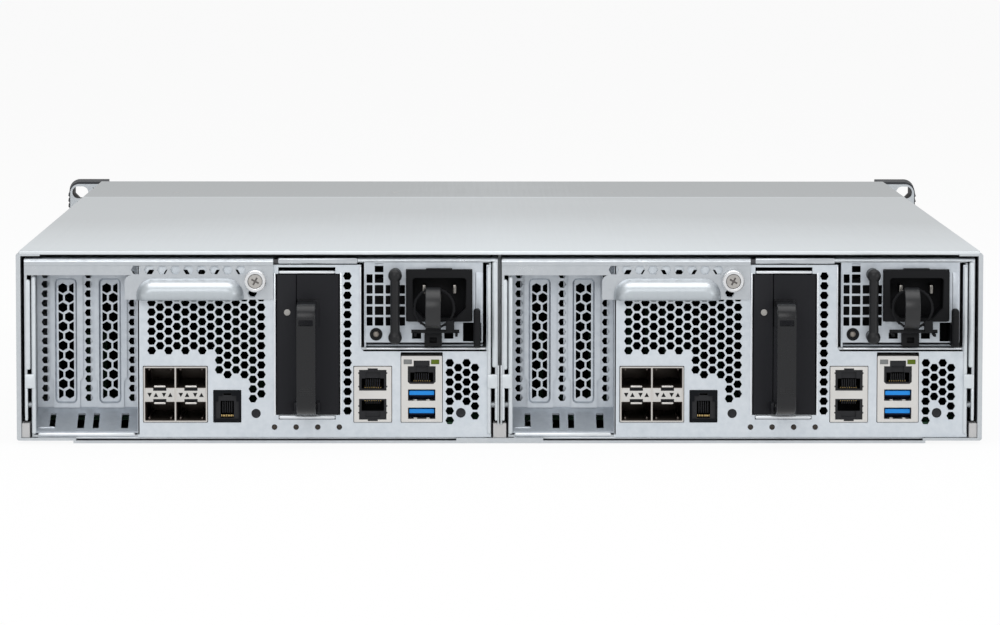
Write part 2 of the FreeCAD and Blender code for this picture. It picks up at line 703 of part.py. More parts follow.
def controller_tray():
    """The tray's floor, the side walls riveted along its edges, and the parts riveted to them."""
    front = PANEL_BACK
    solids = [block(ARM_ZONE, WALL_OUT, front, TRAY_DEPTH, TRAY_Z, TRAY_Z + THIN)]
    flange = PSU_EDGE - RUN
    for x_out, fold in ((ARM_ZONE, 1), (WALL_OUT, -1)):
        x0, x1 = sorted((x_out, x_out + fold * THIN))
        wall = block(x0, x1, front, TRAY_DEPTH, TRAY_Z + THIN, COVER_LOW)
        x0, x1 = sorted((x_out, x_out + fold * flange))
        fold_over = block(x0, x1, SLOT_Y + FLANGE_START, TRAY_DEPTH, COVER_LOW - THIN, COVER_LOW)
        solids.append(joined(wall, fold_over))
    # Shelf and guide wall of the power supply bay
    shelf_left = PSU_LEFT - SUPPLY_GAP_LEFT - THIN
    shelf_right = WALL_OUT - THIN
    shelf_end = PANEL_Y + PSU_DEPTH + 8
    shelf_z = PSU_FLOOR - RUN
    shelf = block(shelf_left, shelf_right, front, shelf_end, shelf_z - THIN, shelf_z)
    guide = block(shelf_left, shelf_left + THIN, front, shelf_end, shelf_z, COVER_LOW - THIN)
    # Floor of the battery bay, hung from the panel
    floor_z = BATTERY_FLOOR - RUN
    battery_floor = block(
        BATTERY_LEFT - 1, BATTERY_RIGHT + 1, front, BATTERY_DEPTH + 6, floor_z - THIN, floor_z
    )
    # Hinge pins of the pull handle
    left_pin = bar(PIVOT_RADIUS, (0.5, PIVOT_Y, PIVOT_Z), (ARM_ZONE, PIVOT_Y, PIVOT_Z))
    right_pin = bar(PIVOT_RADIUS, (WALL_OUT, PIVOT_Y, PIVOT_Z), (CANISTER_WIDTH - 0.5, PIVOT_Y, PIVOT_Z))
    solids += [joined(shelf, guide), battery_floor, left_pin, right_pin]
    # Stand-offs under the board
    half = STANDOFF / 2
    for x in (ARM_ZONE + STANDOFF_INSET, WALL_OUT - STANDOFF_INSET):
        for y in (STANDOFF_REAR, TRAY_DEPTH - STANDOFF_END):
            solids.append(block(x - half, x + half, y - half, y + half, TRAY_Z + THIN, BOARD_TOP - BOARD_THICK))
    return Part.makeCompound(solids)


def controller_cover():
    return block(ARM_ZONE, WALL_OUT, PANEL_BACK + 2, TRAY_DEPTH, COVER_LOW, COVER_TOP)


def slot_blanks():
    """Two filler plates with an embossed panel and a folded top tab."""
    y = SLOT_Y - RUN - THIN
    blanks = []
    for k in range(2):
        x = FIRST_SLOT + k * SLOT_PITCH
        half = SLOT_WIDTH / 2
        plate = prism(
            [
                (x - half + 1.5, y, SLOT_FOOT),
                (x + half - 1.5, y, SLOT_FOOT),
                (x + half - 1.5, y, SLOT_FOOT + 12),
                (x + half, y, SLOT_FOOT + 14),
                (x + half, y, COVER_LOW - 1.5),
                (x - half, y, COVER_LOW - 1.5),
                (x - half, y, SLOT_FOOT + 14),
                (x - half + 1.5, y, SLOT_FOOT + 12),
            ],
            (0, THIN, 0),
        )
        panel = block(x - 5.1, x + 5.1, y - 1, y + THIN / 2, SLOT_FOOT + 3, HANDLE_STEP_Z - 1.5)
        plate = plate.cut(panel)
        tab = block(x - half, x + half, y - 9, y + THIN, COVER_LOW - 1.5 - THIN, COVER_LOW - 1.5)
        blanks.append(joined(plate, tab))
    return Part.makeCompound(blanks)


# Connectors

def sfp_cage():
    """A two by two cage of open ports round a solid middle band."""
    front = PANEL_Y - 0.7
    cage = block(SFP_LEFT, SFP_LEFT + SFP_WIDTH, front, front + SFP_DEPTH, PORT_Z, PORT_Z + SFP_HEIGHT)
    port = (SFP_WIDTH - 3 * SFP_WALL) / 2
    for column in range(2):
        x = SFP_LEFT + SFP_WALL + column * (port + SFP_WALL)
        for z in (PORT_Z + SFP_WALL, PORT_Z + SFP_HEIGHT - SFP_WALL - SFP_PORT_HEIGHT):
            cage = cage.cut(block(x, x + port, front - 1, front + SFP_DEPTH - 4, z, z + SFP_PORT_HEIGHT))
    return cage


def jack_pocket(centre, low, front, flip=False, depth=13.0):
    """The opening of a modular jack: a wide mouth with a stepped latch slot above or below."""
    mouth = block(centre - 6.0, centre + 6.0, front - 1, front + depth, low, low + 6.8)
    if flip:
        wide = block(centre - 3.2, centre + 3.2, front - 1, front + depth, low - 1.5, low + 1)
        slim = block(centre - 2.0, centre + 2.0, front - 1, front + depth, low - 2.8, low + 1)
    else:
        wide = block(centre - 3.2, centre + 3.2, front - 1, front + depth, low + 5.8, low + 8.3)
        slim = block(centre - 2.0, centre + 2.0, front - 1, front + depth, low + 5.8, low + 9.6)
    return joined(mouth, wide, slim)


def console_jack():
    front = PANEL_Y - 0.6
    body = block(
        CONSOLE_LEFT, CONSOLE_LEFT + CONSOLE_WIDTH, front, front + 15, PORT_Z, PORT_Z + CONSOLE_HEIGHT
    )
    centre = CONSOLE_LEFT + CONSOLE_WIDTH / 2
    mouth = block(centre - 4.7, centre + 4.7, front - 1, front + 12, PORT_Z + 2.1, PORT_Z + 9.6)
    latch = block(centre - 3.2, centre + 3.2, front - 1, front + 12, PORT_Z + 8, PORT_Z + 11.4)
    return body.cut(joined(mouth, latch))


def lan_stack():
    front = PANEL_Y - 0.5
    body = block(LAN_LEFT, LAN_LEFT + LAN_WIDTH, front, front + JACK_DEPTH, PORT_Z, PORT_Z + LAN_HEIGHT)
    centre = LAN_LEFT + LAN_WIDTH / 2
    upper = jack_pocket(centre, PORT_Z + 14.6, front)
    lower = jack_pocket(centre, PORT_Z + 4.4, front, flip=True)
    return body.cut(upper).cut(lower)


USB_WIDTH = 12.6
USB_HEIGHT = 5.3


def lan_usb_stack():
    front = PANEL_Y - 0.5
    right, top = COMBO_LEFT + COMBO_WIDTH, PORT_Z + COMBO_HEIGHT
    body = block(COMBO_LEFT, right, front, front + JACK_DEPTH, PORT_Z, top)
    centre = COMBO_LEFT + COMBO_WIDTH / 2
    body = body.cut(jack_pocket(centre, PORT_Z + 17.6, front))
    for low in (PORT_Z + 1.4, PORT_Z + 9.8):
        half = USB_WIDTH / 2
        hole = block(centre - half, centre + half, front - 1, front + 10, low, low + USB_HEIGHT)
        tongue = block(centre - 5.4, centre + 5.4, front + 1, front + 10, low + 2.5, low + 4.5)
        body = body.cut(hole).fuse(tongue)
    return body


def round_button(x, z, radius):
    """A pressed-in cap with a collar that stops behind the panel."""
    cap = post(x, z, PANEL_Y - 0.2, PANEL_BACK + RUN, radius, BUTTON_SIDES)
    collar = post(x, z, PANEL_BACK + RUN, PANEL_BACK + 3, radius + 1.2, 6)
    return joined(cap, collar)


def main_board():
    """The board with its switch blocks, memory, heat sink and rear plugs."""
    left, right = ARM_ZONE + 4, WALL_OUT - 4
    low = BOARD_TOP - BOARD_THICK
    edge = [
        (SLOT_RIGHT + 2, PANEL_BACK + 1, low),
        (right, PANEL_BACK + 1, low),
        (right, TRAY_DEPTH - 10, low),
        (left, TRAY_DEPTH - 10, low),
        (left, SLOT_Y + 8, low),
        (SLOT_RIGHT + 2, SLOT_Y + 8, low),
    ]
    solids = [prism(edge, (0, 0, BOARD_THICK))]
    switch_y = PANEL_BACK + 3 + BUTTON_TRAVEL + 0.3
    switch_end = switch_y + SWITCH_DEPTH
    for x, z in ((POWER_X, POWER_HEIGHT), (RESET_X, RESET_HEIGHT)):
        solids.append(block(x - SWITCH, x + SWITCH, switch_y, switch_end, BOARD_TOP, z + SWITCH))
    y1 = TRAY_DEPTH - 2
    for k in range(PLUGS):
        x = left + PLUG + 3 + k * (right - left - 2 * PLUG - 6) / (PLUGS - 1)
        solids.append(block(x - PLUG, x + PLUG, y1 - PLUG_DEPTH, y1, BOARD_TOP, BOARD_TOP + PLUG_HEIGHT))
    y1 = TRAY_DEPTH - MEMORY_END
    for k in range(MODULES):
        x = left + 12 + MEMORY_PITCH * k
        module = block(x, x + MEMORY_THICK, y1 - MEMORY_LENGTH, y1, BOARD_TOP, BOARD_TOP + MEMORY_HEIGHT)
        solids.append(module)
    y1 = TRAY_DEPTH - SINK_END
    y0 = y1 - SINK_LENGTH
    sink_x = SFP_LEFT + 8
    base = block(sink_x, sink_x + SINK_WIDTH, y0, y1, BOARD_TOP, BOARD_TOP + SINK_BASE)
    fins = []
    for k in range(FINS):
        x = sink_x + k * (SINK_WIDTH - FIN_THICK) / (FINS - 1)
        fins.append(block(x, x + FIN_THICK, y0, y1, BOARD_TOP + SINK_BASE - 1, BOARD_TOP + SINK_HEIGHT))
    solids.append(joined(base, *fins))
    return Part.makeCompound(solids)


def cooling_fans():
    """Three square fans in a row, each a frame with its hub on a strut."""
    frames = []
    y0 = TRAY_DEPTH - FAN_END
    y1 = y0 + FAN_THICK
    half = FAN / 2
    for k in range(3):
        x = CANISTER_WIDTH / 2 + (k - 1) * (FAN + FAN_GAP)
        z = BOARD_TOP + RUN + half
        frame = block(x - half, x + half, y0, y1, z - half, z + half)
        frame = frame.cut(post(x, z, y0 - 1, y1 + 1, half, 8))
        hub = post(x, z, y0, y1 - 2, FAN_HUB, 8)
        strut = block(x - half + 0.5, x - FAN_HUB + FAN_STRUT, y0, y0 + 2, z - FAN_STRUT / 2, z + FAN_STRUT / 2)
        frames.append(joined(frame, hub, strut))
    return Part.makeCompound(frames)


# Pull handle: one folded sheet that swings down on two low pins

def grip_shell(inset):
    """The drawn finger grip, or the space inside it when it is inset."""
    front = -GRIP_PROUD + inset
    left, right = GRIP_LEFT + inset, GRIP_LEFT + GRIP_WIDTH - inset
    shell = block(left, right, front, SHEET, HANDLE_LOW, GRIP_TOP - inset)
    edges = []
    for edge in shell.Edges:
        box = edge.BoundBox
        at_front = box.YMax < front + 0.01
        at_top = box.ZMin > GRIP_TOP - inset - 0.01
        side_edge = box.ZLength > 1 and at_front
        top_edge = box.XLength > 1 and at_front and at_top
        if side_edge or top_edge:
            edges.append(edge)
    return shell.makeChamfer(GRIP_BEVEL, edges)


def bail_handle():
    inner = HANDLE_BEND - SHEET
    bend_z = HANDLE_TOP - HANDLE_BEND
    k = math.sqrt(0.5)
    bend_in = Vector(0, HANDLE_BEND - inner * k, bend_z + inner * k)
    bend_out = Vector(0, HANDLE_BEND - HANDLE_BEND * k, bend_z + HANDLE_BEND * k)
    points = [
        Vector(0, 0, HANDLE_LOW),
        Vector(0, 0, bend_z),
        Vector(0, HANDLE_BEND, HANDLE_TOP),
        Vector(0, ARM_DEPTH, HANDLE_TOP),
        Vector(0, ARM_DEPTH, HANDLE_TOP - SHEET),
        Vector(0, HANDLE_BEND, HANDLE_TOP - SHEET),
        Vector(0, SHEET, bend_z),
        Vector(0, SHEET, HANDLE_LOW),
    ]
    edges = [
        Part.makeLine(points[0], points[1]),
        Part.Arc(points[1], bend_out, points[2]).toShape(),
        Part.makeLine(points[2], points[3]),
        Part.makeLine(points[3], points[4]),
        Part.makeLine(points[4], points[5]),
        Part.Arc(points[5], bend_in, points[6]).toShape(),
        Part.makeLine(points[6], points[7]),
        Part.makeLine(points[7], points[0]),
    ]
    left, right = RUN, CANISTER_WIDTH - RUN
    sheet = Part.Face(Part.Wire(edges)).extrude(Vector(right - left, 0, 0))
    sheet.translate(Vector(left, 0, 0))
    sheet = sheet.cut(block(left - 1, HANDLE_STEP, -1, 30, 0, HANDLE_STEP_Z))
    thin_left = PSU_LEFT - 2.9
    sheet = sheet.cut(block(HANDLE_RIGHT, right + 1, -1, 30, 0, HANDLE_TOP - BAR_HEIGHT))
    sheet = sheet.cut(block(thin_left, right + 1, -1, 30, 0, HANDLE_TOP - THIN_BAR_HEIGHT))
    # The lowered handle passes under the battery, so the flange is only a bend deep there
    sheet = sheet.cut(block(HANDLE_RIGHT, thin_left, HANDLE_BEND, 30, 0, HANDLE_TOP + 1))
    sheet = sheet.fuse(grip_shell(0)).cut(grip_shell(SHEET))
    sheet = sheet.cut(post(SCREW_X, SCREW_Z, -1, 3, SCREW_RADIUS + 0.9, 8))
    arms = [arm(left, 1, HANDLE_STEP_Z), arm(right, -1, HANDLE_TOP - SHEET)]
    return joined(sheet, *arms)


def arm(outer, inward, flange_top):
    """A side arm: a web round the pivot, a narrow flange and a stop tab."""
    x_in, x_out = sorted((outer, outer + inward * SHEET))
    web = block(x_in, x_out, 0, ARM_DEPTH, PIVOT_Z, HANDLE_TOP - SHEET / 2)
    angles = [math.radians(45 * k + 22.5) for k in range(8)]
    rim = [(x_in, PIVOT_Y + LOBE * math.cos(a), PIVOT_Z + LOBE * math.sin(a)) for a in angles]
    lobe = prism(rim, (x_out - x_in, 0, 0)).cut(block(x_in - 1, x_out + 1, -9, 0, 0, 40))
    f_in, f_out = sorted((outer, outer + inward * ARM_FLANGE))
    flange = block(f_in, f_out, 0, SHEET, PIVOT_Z + 16.5, flange_top)
    t_in, t_out = sorted((outer, outer + inward * ARM_TAB))
    tab = block(t_in, t_out, 0, SHEET, PIVOT_Z + 8.0, PIVOT_Z + 14.5)
    bore = bar(PIVOT_RADIUS + PIN_FIT, (x_in - 1, PIVOT_Y, PIVOT_Z), (x_out + 1, PIVOT_Y, PIVOT_Z))
    return joined(web, lobe, flange, tab).cut(bore)


def thumbscrew():
    """A captive screw: a knob on a plain shank that reaches through the panel."""
    knob = post(SCREW_X, SCREW_Z, -KNOB_HEIGHT, -RUN, KNOB_RADIUS, 18)
    shank = post(SCREW_X, SCREW_Z, -RUN, PANEL_BACK + 0.5, SCREW_RADIUS, 8)
    return joined(knob, shank)


# Battery backup module and its release lever

LEVER_X = BATTERY_LEFT + BATTERY_WIDTH / 2 - 0.3
LEVER_PIN_Z = BATTERY_FLOOR + 3.4
LEVER_PIN_Y = PANEL_Y - 3.2


def battery_module():
    body = block(BATTERY_LEFT, BATTERY_RIGHT, PANEL_Y - 0.5, BATTERY_DEPTH, BATTERY_FLOOR, BATTERY_TOP)
    x0, x1 = LEVER_X - LEVER_WIDTH / 2, LEVER_X + LEVER_WIDTH / 2
    face = PANEL_Y - 0.5
    recess = block(x0 - 0.6, x1 + 1.2, face - 1, face + 5, LEVER_TOP - 12, LEVER_TOP + 0.6)
    body = body.cut(recess)
    for side in (-1, 1):
        near, far = LEVER_WIDTH / 2 + RUN, LEVER_WIDTH / 2 + 1.6
        lug_in, lug_out = sorted((LEVER_X + side * near, LEVER_X + side * far))
        lug = block(lug_in, lug_out, LEVER_PIN_Y - 2.4, face + 1, LEVER_PIN_Z - 2.6, LEVER_PIN_Z + 2.6)
        body = body.fuse(lug)
    pin = bar(LEVER_PIN, (x0 - 1, LEVER_PIN_Y, LEVER_PIN_Z), (x1 + 1, LEVER_PIN_Y, LEVER_PIN_Z))
    return joined(body, pin)


def battery_lever():
    """A flat D-shaped grip from the lower pin to the latch recess."""
    face = PANEL_Y - 0.5
    x0 = LEVER_X - LEVER_WIDTH / 2
    out = face - LEVER_PROUD
    top, low = LEVER_TOP, LEVER_PIN_Z - 2.2

    def loop(inset):
        """The D outline, moved inwards by the inset."""
        near = LEVER_PIN_Y
        r = LEVER_BEND - inset
        k = r * (1 - math.sqrt(0.5))
        y_out, z_top, z_low = out + inset, top - inset, low + inset
        a = Vector(x0, near, z_top)
        b = Vector(x0, y_out + r, z_top)
        c = Vector(x0, y_out, z_top - r)
        d = Vector(x0, y_out, z_low + r)
        e = Vector(x0, y_out + r, z_low)
        f = Vector(x0, near, z_low)
        upper = Part.Arc(b, Vector(x0, y_out + k, z_top - k), c).toShape()
        lower = Part.Arc(d, Vector(x0, y_out + k, z_low + k), e).toShape()
        lines = [Part.makeLine(p, q) for p, q in ((a, b), (c, d), (e, f), (f, a))]
        wire = Part.Wire([lines[0], upper, lines[1], lower, lines[2], lines[3]])
        return Part.Face(wire).extrude(Vector(LEVER_WIDTH, 0, 0))

    ring = loop(0).cut(loop(LEVER_THICK))
    x1 = x0 + LEVER_WIDTH
    reach = LEVER_PIN_Y - 3.2
    ring = ring.cut(block(x0 - 1, x1 + 1, reach, face + 30, low + LEVER_THICK + 1, top - LEVER_THICK))
    eye = bar(2.2, (x0, LEVER_PIN_Y, LEVER_PIN_Z), (x1, LEVER_PIN_Y, LEVER_PIN_Z))
    hook = block(x0, x1, LEVER_PIN_Y - 0.5, face + 2.5, top - LEVER_THICK, top)
    toe = block(x0, x1, face + 1.0, face + 2.5, top - LEVER_THICK - 2, top)
    radius = LEVER_PIN + PIN_FIT
    bore = bar(radius, (x0 - 1, LEVER_PIN_Y, LEVER_PIN_Z), (x1 + 1, LEVER_PIN_Y, LEVER_PIN_Z))
    return joined(ring, eye, hook, toe).cut(bore)


# Power supply and its fittings

PSU_FACE = 0.5
LATCH_X = PSU_RIGHT - 4.3
LATCH_PIN_Y = 14.0
CLIP_X = PSU_LEFT + 31.7
CLIP_LUGS = (CLIP_X - 8.8, CLIP_X + 10.1)
INLET_LEFT = PSU_LEFT + INLET_OFFSET
INLET_RIGHT = INLET_LEFT + INLET_WIDTH


def psu_case():
    case = block(PSU_LEFT, PSU_RIGHT, PSU_FACE, PANEL_Y + PSU_DEPTH, PSU_FLOOR, PSU_TOP)
    brow = block(PSU_LEFT, PSU_RIGHT, PSU_FACE, PSU_FACE + THIN, PSU_FLOOR, PSU_TOP + 0.9)
    case = joined(case, brow)
    # Dark space behind the fan grille
    grille_right = INLET_LEFT - 0.6
    rows_top = PSU_TOP - 0.8
    rows_low = rows_top - GRILLE_ROWS * GRILLE_PITCH
    case = case.cut(
        block(PSU_LEFT + 1, grille_right, PSU_FACE + THIN, PSU_FACE + 14, rows_low, rows_top)
    )
    pull_x = PSU_LEFT + PULL_OFFSET
    x = PSU_LEFT + 1.2
    while x + GRILLE_HOLE < grille_right + 0.3:
        for row in range(GRILLE_ROWS):
            z = rows_top - (row + 1) * GRILLE_PITCH + (GRILLE_PITCH - GRILLE_HOLE) / 2
            beside_leg = abs(x + GRILLE_HOLE / 2 - pull_x) < PULL_LEG + GRILLE_HOLE / 2
            if beside_leg and row == 0:
                continue
            case = case.cut(block(x, x + GRILLE_HOLE, PSU_FACE - 1, PSU_FACE + THIN + 1, z, z + GRILLE_HOLE))
        x += GRILLE_PITCH
    # Hole for the inlet and the slot for the latch
    low, top = INLET_FLOOR - SEAT_FIT, INLET_FLOOR + INLET_HEIGHT + SEAT_FIT
    inlet = block(INLET_LEFT - SEAT_FIT, INLET_RIGHT + SEAT_FIT, PSU_FACE - 1, PSU_FACE + 16, low, top)
    low, top = PSU_FLOOR + 0.6, INLET_FLOOR - 0.5
    latch = block(LATCH_X - 2.2, PSU_RIGHT + 1, PSU_FACE - 1, LATCH_PIN_Y + 4, low, top)
    pin_x = LATCH_X + LATCH_WIDTH / 2
    pin = bar(LATCH_PIN, (pin_x, LATCH_PIN_Y, PSU_FLOOR), (pin_x, LATCH_PIN_Y, INLET_FLOOR))
    # Base block of the cable clip and two notched lugs that its wire snaps into
    base = block(CLIP_X - 4.0, CLIP_X + 4.0, -3.6, PSU_FACE, PSU_FLOOR + 0.8, CLIP_Z - 1.2)
    lugs = []
    for x_in in CLIP_LUGS:
        lugs.append(
            block(x_in, x_in + 1.2, -CLIP_Y - 1.6, PSU_FACE, CLIP_Z - 2.4, CLIP_Z + CLIP_WIRE + RUN)
        )
    half_notch = CLIP_WIRE + PIN_FIT
    notch = block(
        CLIP_X - 12, CLIP_X + 14, -CLIP_Y - half_notch, -CLIP_Y + half_notch, CLIP_Z - half_notch, CLIP_Z + 5
    )
    seat = lugs[0].fuse(lugs[1]).cut(notch)
    return joined(case.cut(inlet).cut(latch), pin, base, seat)


def psu_inlet():
    """The mains inlet: a moulded shroud with three blades."""
    x0, x1 = INLET_LEFT, INLET_RIGHT
    z0, z1 = INLET_FLOOR, INLET_FLOOR + INLET_HEIGHT
    front = PSU_FACE - INLET_PROUD
    body = block(x0, x1, front, PSU_FACE + 15.5, z0, z1)
    left, right, low, top = x0 + 2.9, x1 - 2.7, z0 + 1.6, z1 - 3.8
    cavity = prism(
        [
            (left, front - 1, top),
            (left, front - 1, low + 5),
            (left + 5, front - 1, low),
            (right - 5, front - 1, low),
            (right, front - 1, low + 5),
            (right, front - 1, top),
        ],
        (0, 15.5, 0),
    )
    body = body.cut(cavity)
    centre = (left + right) / 2
    for x, z in ((centre - 7, top - 5.5), (centre + 7, top - 5.5), (centre, top - 9.5)):
        body = body.fuse(block(x - 1, x + 1, front + 3, front + 15, z - 2, z + 2))
    return body


def psu_handle():
    """A moulded pull: an upright rod between two eight-sided legs."""
    x = PSU_LEFT + PULL_OFFSET
    y = PSU_FACE - PULL_PROUD
    legs = [post(x, z, y - PULL_RADIUS, PSU_FACE, PULL_LEG, 8) for z in (PULL_LOW, PULL_HIGH)]
    rod = bar(PULL_RADIUS, (x, y, PULL_LOW), (x, y, PULL_HIGH))
    return joined(rod, *legs)


def psu_latch():
    """A squeeze latch on an upright pin, with a tall thumb tab in front of the inlet."""
    x0, x1 = LATCH_X, LATCH_X + LATCH_WIDTH
    low = PSU_FLOOR + 0.9
    body = block(x0, x1, PSU_FACE - LATCH_PROUD + 2, LATCH_PIN_Y + 2.5, low, INLET_FLOOR - 0.8)
    tip = PSU_FACE - LATCH_PROUD
    tab = block(x0, x1, tip, PSU_FACE - INLET_PROUD - 1.2, low, INLET_FLOOR + 6.5)
    front = [e for e in tab.Edges if e.BoundBox.YMax < tip + 0.01 and e.BoundBox.ZLength > 5]
    tab = tab.makeChamfer(0.9, front)
    bore_x = x0 + LATCH_WIDTH / 2
    bore = bar(LATCH_PIN + PIN_FIT, (bore_x, LATCH_PIN_Y, low - 1), (bore_x, LATCH_PIN_Y, INLET_FLOOR))
    return joined(body, tab).cut(bore)


def cable_strap():
    """A cord retainer: a hinge wire, a ring for the plug and a springy band across it."""
    y, z = -CLIP_Y, CLIP_Z
    angles = [math.radians(45 * k + 22.5) for k in range(8)]
    section = [(CLIP_X - 10, y + CLIP_WIRE * math.cos(a), z + CLIP_WIRE * math.sin(a)) for a in angles]
    wire = prism(section, (22, 0, 0))
    inner, outer = CLIP_RING - CLIP_THICK / 2, CLIP_RING + CLIP_THICK / 2
    ring_x, ring_z = CLIP_X + 0.5, z + CLIP_RING + CLIP_RISE
    ring = post(ring_x, ring_z, y - CLIP_THICK / 2, y + CLIP_THICK / 2, outer, RING_SIDES)
    ring = ring.cut(post(ring_x, ring_z, y - 2, y + 2, inner, RING_SIDES))
    half = CLIP_WIDTH / 2
    # The band is half of a ring across the plug, standing out from the first one
    steps = RING_SIDES // 2
    angles = [math.pi / 2 + math.pi * k / steps for k in range(steps + 1)]
    rim = [(CLIP_X - half, y + outer * math.cos(a), ring_z + outer * math.sin(a)) for a in angles]
    rim += [(CLIP_X - half, y + inner * math.cos(a), ring_z + inner * math.sin(a)) for a in angles[::-1]]
    band = prism(rim, (CLIP_WIDTH, 0, 0))
    riser = block(CLIP_X - half, CLIP_X + half, y - 0.7, y + 0.7, z, z + CLIP_RISE + 1.0)
    tab = block(CLIP_X + 5.8, CLIP_X + 9.7, y - 3.0, y + 0.5, z, z + 5)
    return joined(wire, ring, band, riser, tab)


# Every canister piece is built once, in the canister's own frame, and placed twice
canister = {
    "controller_tray": controller_tray(),
    "controller_cover": controller_cover(),
    "bail_handle": bail_handle(),
    "thumbscrew": thumbscrew(),
    "slot_plate": slot_plate(),
    "slot_blanks": slot_blanks(),
    "sfp_cage": sfp_cage(),
    "console_jack": console_jack(),
    "lan_stack": lan_stack(),
    "lan_usb_stack": lan_usb_stack(),
    "power_button": round_button(POWER_X, POWER_HEIGHT, POWER_RADIUS),
    "reset_button": round_button(RESET_X, RESET_HEIGHT, RESET_RADIUS),
    "main_board": main_board(),
    "cooling_fans": cooling_fans(),
    "battery_module": battery_module(),
    "battery_lever": battery_lever(),
    "psu_case": psu_case(),
    "psu_inlet": psu_inlet(),
    "psu_handle": psu_handle(),
    "psu_latch": psu_latch(),
    "cable_strap": cable_strap(),
}
for name, shape in canister.items():
    for side, left in CANISTERS:
        placed = shape.copy()
        placed.translate(Vector(left, 0, 0))
        nodes[name + "_" + side] = placed

nodes["chassis_base"] = chassis_base()
nodes["top_cover"] = top_cover()
nodes["front_cover"] = front_cover()
nodes["cover_screws"] = cover_screws()
nodes["catch_blocks"] = catch_blocks()
nodes["midplane_board"] = midplane_board()
nodes["drive_cage"] = drive_cage()
nodes["rack_ear_right"] = rack_ear()
nodes["rack_ear_left"] = mirrored(nodes["rack_ear_right"])
nodes["ear_cap_right"] = ear_cap()
nodes["ear_cap_left"] = mirrored(nodes["ear_cap_right"])
drive_side()

os.makedirs("parts", exist_ok=True)
for name, shape in nodes.items():
    shape.translate(Vector(0, -BODY_DEPTH / 2, 0))
    shape.exportStep("parts/" + name + ".step")
print(len(nodes), "nodes")
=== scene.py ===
import math
from collections import namedtuple

import bmesh
import bpy
import numpy as np
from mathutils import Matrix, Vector
from mathutils.geometry import delaunay_2d_cdt


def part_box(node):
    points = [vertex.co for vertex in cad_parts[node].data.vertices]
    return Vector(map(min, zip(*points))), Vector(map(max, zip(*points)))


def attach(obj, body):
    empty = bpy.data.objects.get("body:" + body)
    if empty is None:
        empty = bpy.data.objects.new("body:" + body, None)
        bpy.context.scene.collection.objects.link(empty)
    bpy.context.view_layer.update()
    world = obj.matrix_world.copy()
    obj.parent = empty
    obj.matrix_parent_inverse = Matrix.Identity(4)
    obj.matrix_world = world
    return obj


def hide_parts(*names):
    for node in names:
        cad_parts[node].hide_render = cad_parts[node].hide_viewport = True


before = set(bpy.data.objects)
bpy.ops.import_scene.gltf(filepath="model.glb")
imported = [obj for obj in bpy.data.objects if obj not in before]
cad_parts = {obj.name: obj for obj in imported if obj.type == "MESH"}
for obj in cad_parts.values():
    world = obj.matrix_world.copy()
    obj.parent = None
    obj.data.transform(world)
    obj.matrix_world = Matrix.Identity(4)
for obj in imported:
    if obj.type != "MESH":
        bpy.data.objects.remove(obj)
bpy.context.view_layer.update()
scene = bpy.context.scene

# Studio: the unit stands on a pale floor in front of a white surround, and a long lens looks at its
# rear face from a little above. Wide soft lamps hang over it and stand behind the camera.

CAMERA_PLACE = (-0.0183, -2.6482, 0.2584)
CAMERA_DOWN = 4.77       # degrees below the horizon
CAMERA_RIGHT = 0.44      # degrees to the right of the row's +Y
CAMERA_ROLL = -0.046
LENS = 186.7
SENSOR = 36.0

camera_data = bpy.data.cameras.new("camera")
camera_data.lens = LENS
camera_data.sensor_width = SENSOR
camera_data.clip_end = 50.0
camera = bpy.data.objects.new("camera", camera_data)
scene.collection.objects.link(camera)
camera.location = CAMERA_PLACE
camera.rotation_euler = (
    math.radians(90 - CAMERA_DOWN), math.radians(CAMERA_ROLL), math.radians(-CAMERA_RIGHT)
)
scene.camera = camera
scene.view_settings.view_transform = "Standard"

LAMPS = (
    # name, place, aimed at, width, height, watts
    ("lamp_over", (0.0, -0.4, 2.2), (0.0, 0.0, 0.0), 2.6, 1.8, 26.0),
    ("lamp_behind_camera", (-0.6, -3.0, 1.5), (0.0, -0.2, 0.05), 2.2, 1.4, 24.0),
    ("lamp_low_right", (2.2, -2.0, 0.7), (0.1, -0.2, 0.05), 1.0, 1.6, 12.0),
)
for name, place, target, width, height, watts in LAMPS:
    lamp_data = bpy.data.lights.new(name, "AREA")
    lamp_data.shape = "RECTANGLE"
    lamp_data.size = width
    lamp_data.size_y = height
    lamp_data.energy = watts
    lamp = bpy.data.objects.new(name, lamp_data)
    scene.collection.objects.link(lamp)
    lamp.location = place
    lamp.rotation_euler = (Vector(target) - Vector(place)).to_track_quat("-Z", "Y").to_euler()


class Value:
    """A shader socket; plain arithmetic on it adds Math nodes to its tree."""

    def __init__(self, tree, socket):
        self.tree = tree
        self.socket = socket

    def math(self, operation, other=0.0, swapped=False):
        node = self.tree.nodes.new("ShaderNodeMath")
        node.operation = operation
        pair = (other, self) if swapped else (self, other)
        for slot, item in zip(node.inputs, pair):
            if isinstance(item, Value):
                self.tree.links.new(item.socket, slot)
            else:
                slot.default_value = item
        return Value(self.tree, node.outputs[0])

    def __add__(self, other):
        return self.math("ADD", other)

    def __radd__(self, other):
        return self.math("ADD", other, True)

    def __sub__(self, other):
        return self.math("SUBTRACT", other)

    def __rsub__(self, other):
        return self.math("SUBTRACT", other, True)

    def __mul__(self, other):
        return self.math("MULTIPLY", other)

    def __rmul__(self, other):
        return self.math("MULTIPLY", other, True)


